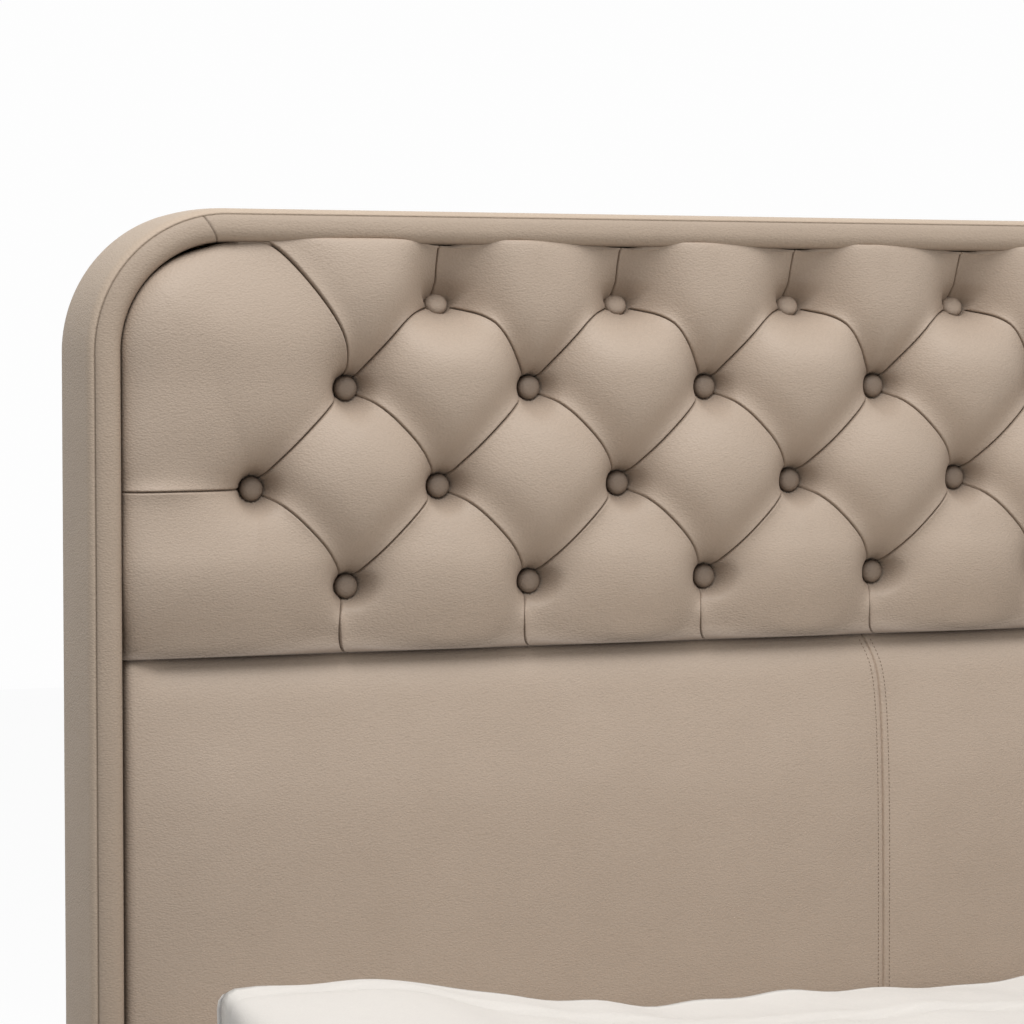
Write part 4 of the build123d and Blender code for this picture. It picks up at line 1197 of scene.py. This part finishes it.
def plastic_material(name, dark, light):
    n = Material(name, 0.55, Specular_IOR_Level=0.4)
    texture = n.noise((0.5, 0.5, 0.5), 2.0)
    tint = n.ramp(n.noise((25, 25, 25)), (0.3, colour(*dark)), (0.7, colour(*light)))
    return n.finish(tint, n.bump(texture, 0.06, 0.5), n.math("ADD", n.math("MULTIPLY", texture, 0.2), 0.45))


def coated_material(name, dark, light):
    """Powder coat on steel: orange peel and a low gloss."""
    n = Material(name, 0.4, Specular_IOR_Level=0.5)
    peel = n.noise((1.3, 1.3, 1.3), 1.0)
    tint = n.ramp(n.noise((30, 30, 30), 3.0), (0.3, colour(*dark)), (0.7, colour(*light)))
    return n.finish(tint, n.bump(peel, 0.08, 0.5), n.math("ADD", n.math("MULTIPLY", peel, 0.2), 0.32))


def plated_material(name, dark, light):
    """Zinc plate: bright, a little cloudy, with fine turning marks."""
    n = Material(name, 0.35, Metallic=1.0)
    cloud = n.noise((9, 9, 9), 3.0)
    marks = n.noise((6, 6, 0.25), 1.0)
    tint = n.ramp(cloud, (0.3, colour(*dark)), (0.7, colour(*light)))
    return n.finish(tint, n.bump(marks, 0.03, 0.4), n.math("ADD", n.math("MULTIPLY", cloud, 0.25), 0.22))


# dark and light colour, width of the growth rings in mm, roughness, and strength of any flecks
woods = {
    "frame_timber": ((188, 152, 108), (226, 196, 152), 9.0, 0.62),
    "plywood": ((184, 152, 110), (216, 190, 148), 22.0, 0.6),
    "dark_wood": ((30, 22, 18), (62, 45, 36), 7.0, 0.38),
    "beech_slat": ((196, 158, 118), (224, 190, 150), 14.0, 0.42, 0.3),
}
finishes = {
    "black_plastic": plastic_material("plastic_black", (24, 24, 25), (34, 34, 35)),
    "black_steel": coated_material("steel_black", (28, 28, 29), (40, 40, 41)),
    "zinc_steel": plated_material("steel_zinc", (176, 180, 186), (206, 208, 210)),
}
for node in sorted(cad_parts):
    low, high = edges_of(node)
    run = int(np.argmax(high - low))
    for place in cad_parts[node].material_slots:
        kind = place.material.name.split(".")[0]
        if kind in woods:
            key = kind + "_" + "xyz"[run]
            if key not in finishes:
                finishes[key] = wood_material(key, run, *woods[kind])
            place.material = finishes[key]
        elif kind in finishes:
            place.material = finishes[kind]


# ---- staples that hold the back cover
staple_inset = 9.0
staple_x = back_half - staple_inset
staple_low = back_low[2] + staple_inset
right_turn = arc_points(turn_x, turn_z, corner_in - staple_inset, 0, QUARTER, 14)
left_turn = [(-x, z) for x, z in right_turn[::-1]]
path = [(staple_x, staple_low), *right_turn, *left_turn, (-staple_x, staple_low), (staple_x, staple_low)]
line = [(x, back_face - 0.1, z) for x, z in path]
staple_size = {"length": 10.0, "pitch": 42.0, "radius": 0.6}
stitch_row(
    "back_cover_staples", line, (0, 1, 0), **staple_size, material=finishes["zinc_steel"], slot="zinc_steel"
)


# ---- camera and light
def aimed(name, data, place, direction):
    """Puts a camera or a light in the scene."""
    thing = bpy.data.objects.new(name, data)
    thing.location = place
    thing.rotation_euler = Vector(direction).to_track_quat("-Z", "Y").to_euler()
    bpy.context.scene.collection.objects.link(thing)
    return thing


camera_place = (-1.557, -1.878, 1.128)
yaw, pitch = math.radians(22.16), math.radians(-2.81)
view = (math.sin(yaw) * math.cos(pitch), math.cos(yaw) * math.cos(pitch), math.sin(pitch))
camera_data = bpy.data.cameras.new("camera")
camera_data.lens = 118.7
camera_data.sensor_width = 36.0
camera_data.clip_end = 100.0
bpy.context.scene.camera = aimed("camera", camera_data, camera_place, view)
bpy.context.scene.view_settings.view_transform = "Standard"

lamp_data = bpy.data.lights.new("overhead", "AREA")
lamp_data.shape = "RECTANGLE"
lamp_data.size, lamp_data.size_y = 2.4, 1.6
lamp_data.energy = 56
lamp_place, lit_place = Vector((-0.6, -0.5, 3.3)), Vector((0.0, 0.8, 0.9))
aimed("overhead", lamp_data, lamp_place, lit_place - lamp_place)

# a sky that lights the bed less than it shows as background and in reflections
world = bpy.data.worlds.new("studio")
bpy.context.scene.world = world
world.use_nodes = True
sky = Nodes(world.node_tree)
background = sky.tree.nodes["Background"]
background.inputs["Color"].default_value = (1, 1, 1, 1)
ray = sky.add("ShaderNodeLightPath").outputs
seen = sky.math("MAXIMUM", ray["Is Camera Ray"], ray["Is Transmission Ray"])
seen = sky.math("MAXIMUM", seen, ray["Is Glossy Ray"])
level = sky.add("ShaderNodeMapRange", Value=seen, To_Min=0.47, To_Max=0.985)
sky.tree.links.new(level.outputs[0], background.inputs["Strength"])


# ---- floor: pale to the camera, darker to the light that bounces off it
floor_half = 9.0
corners = [(-floor_half, -floor_half, 0), (floor_half, -floor_half, 0)]
corners += [(floor_half, floor_half, 0), (-floor_half, floor_half, 0)]
floor_data = bpy.data.meshes.new("floor")
floor_data.from_pydata(corners, [], [(0, 1, 2, 3)])
floor = bpy.data.objects.new("floor", floor_data)
bpy.context.scene.collection.objects.link(floor)
n = Material("pale_floor", 0.9, Specular_IOR_Level=0.1)
ray = n.add("ShaderNodeLightPath").outputs
pale = n.ramp(n.noise((400, 400, 400)), (0.3, (0.82, 0.82, 0.82, 1)), (0.7, (0.84, 0.84, 0.84, 1)))
shown = n.add("ShaderNodeMix", {"data_type": "RGBA"}, _0=ray["Is Camera Ray"], _6=(0.3, 0.3, 0.3, 1), _7=pale)
floor_data.materials.append(n.finish(shown.outputs[2]))
glow = n.add("ShaderNodeEmission", Color=(1, 1, 1, 1), Strength=1.1)
share = n.math("MULTIPLY", n.math("MAXIMUM", ray["Is Camera Ray"], ray["Is Glossy Ray"]), 0.8)
mix = n.add("ShaderNodeMixShader", _0=share, _1=n.shader.outputs[0], _2=glow.outputs[0])
n.tree.links.new(mix.outputs[0], n.tree.nodes["Material Output"].inputs["Surface"])
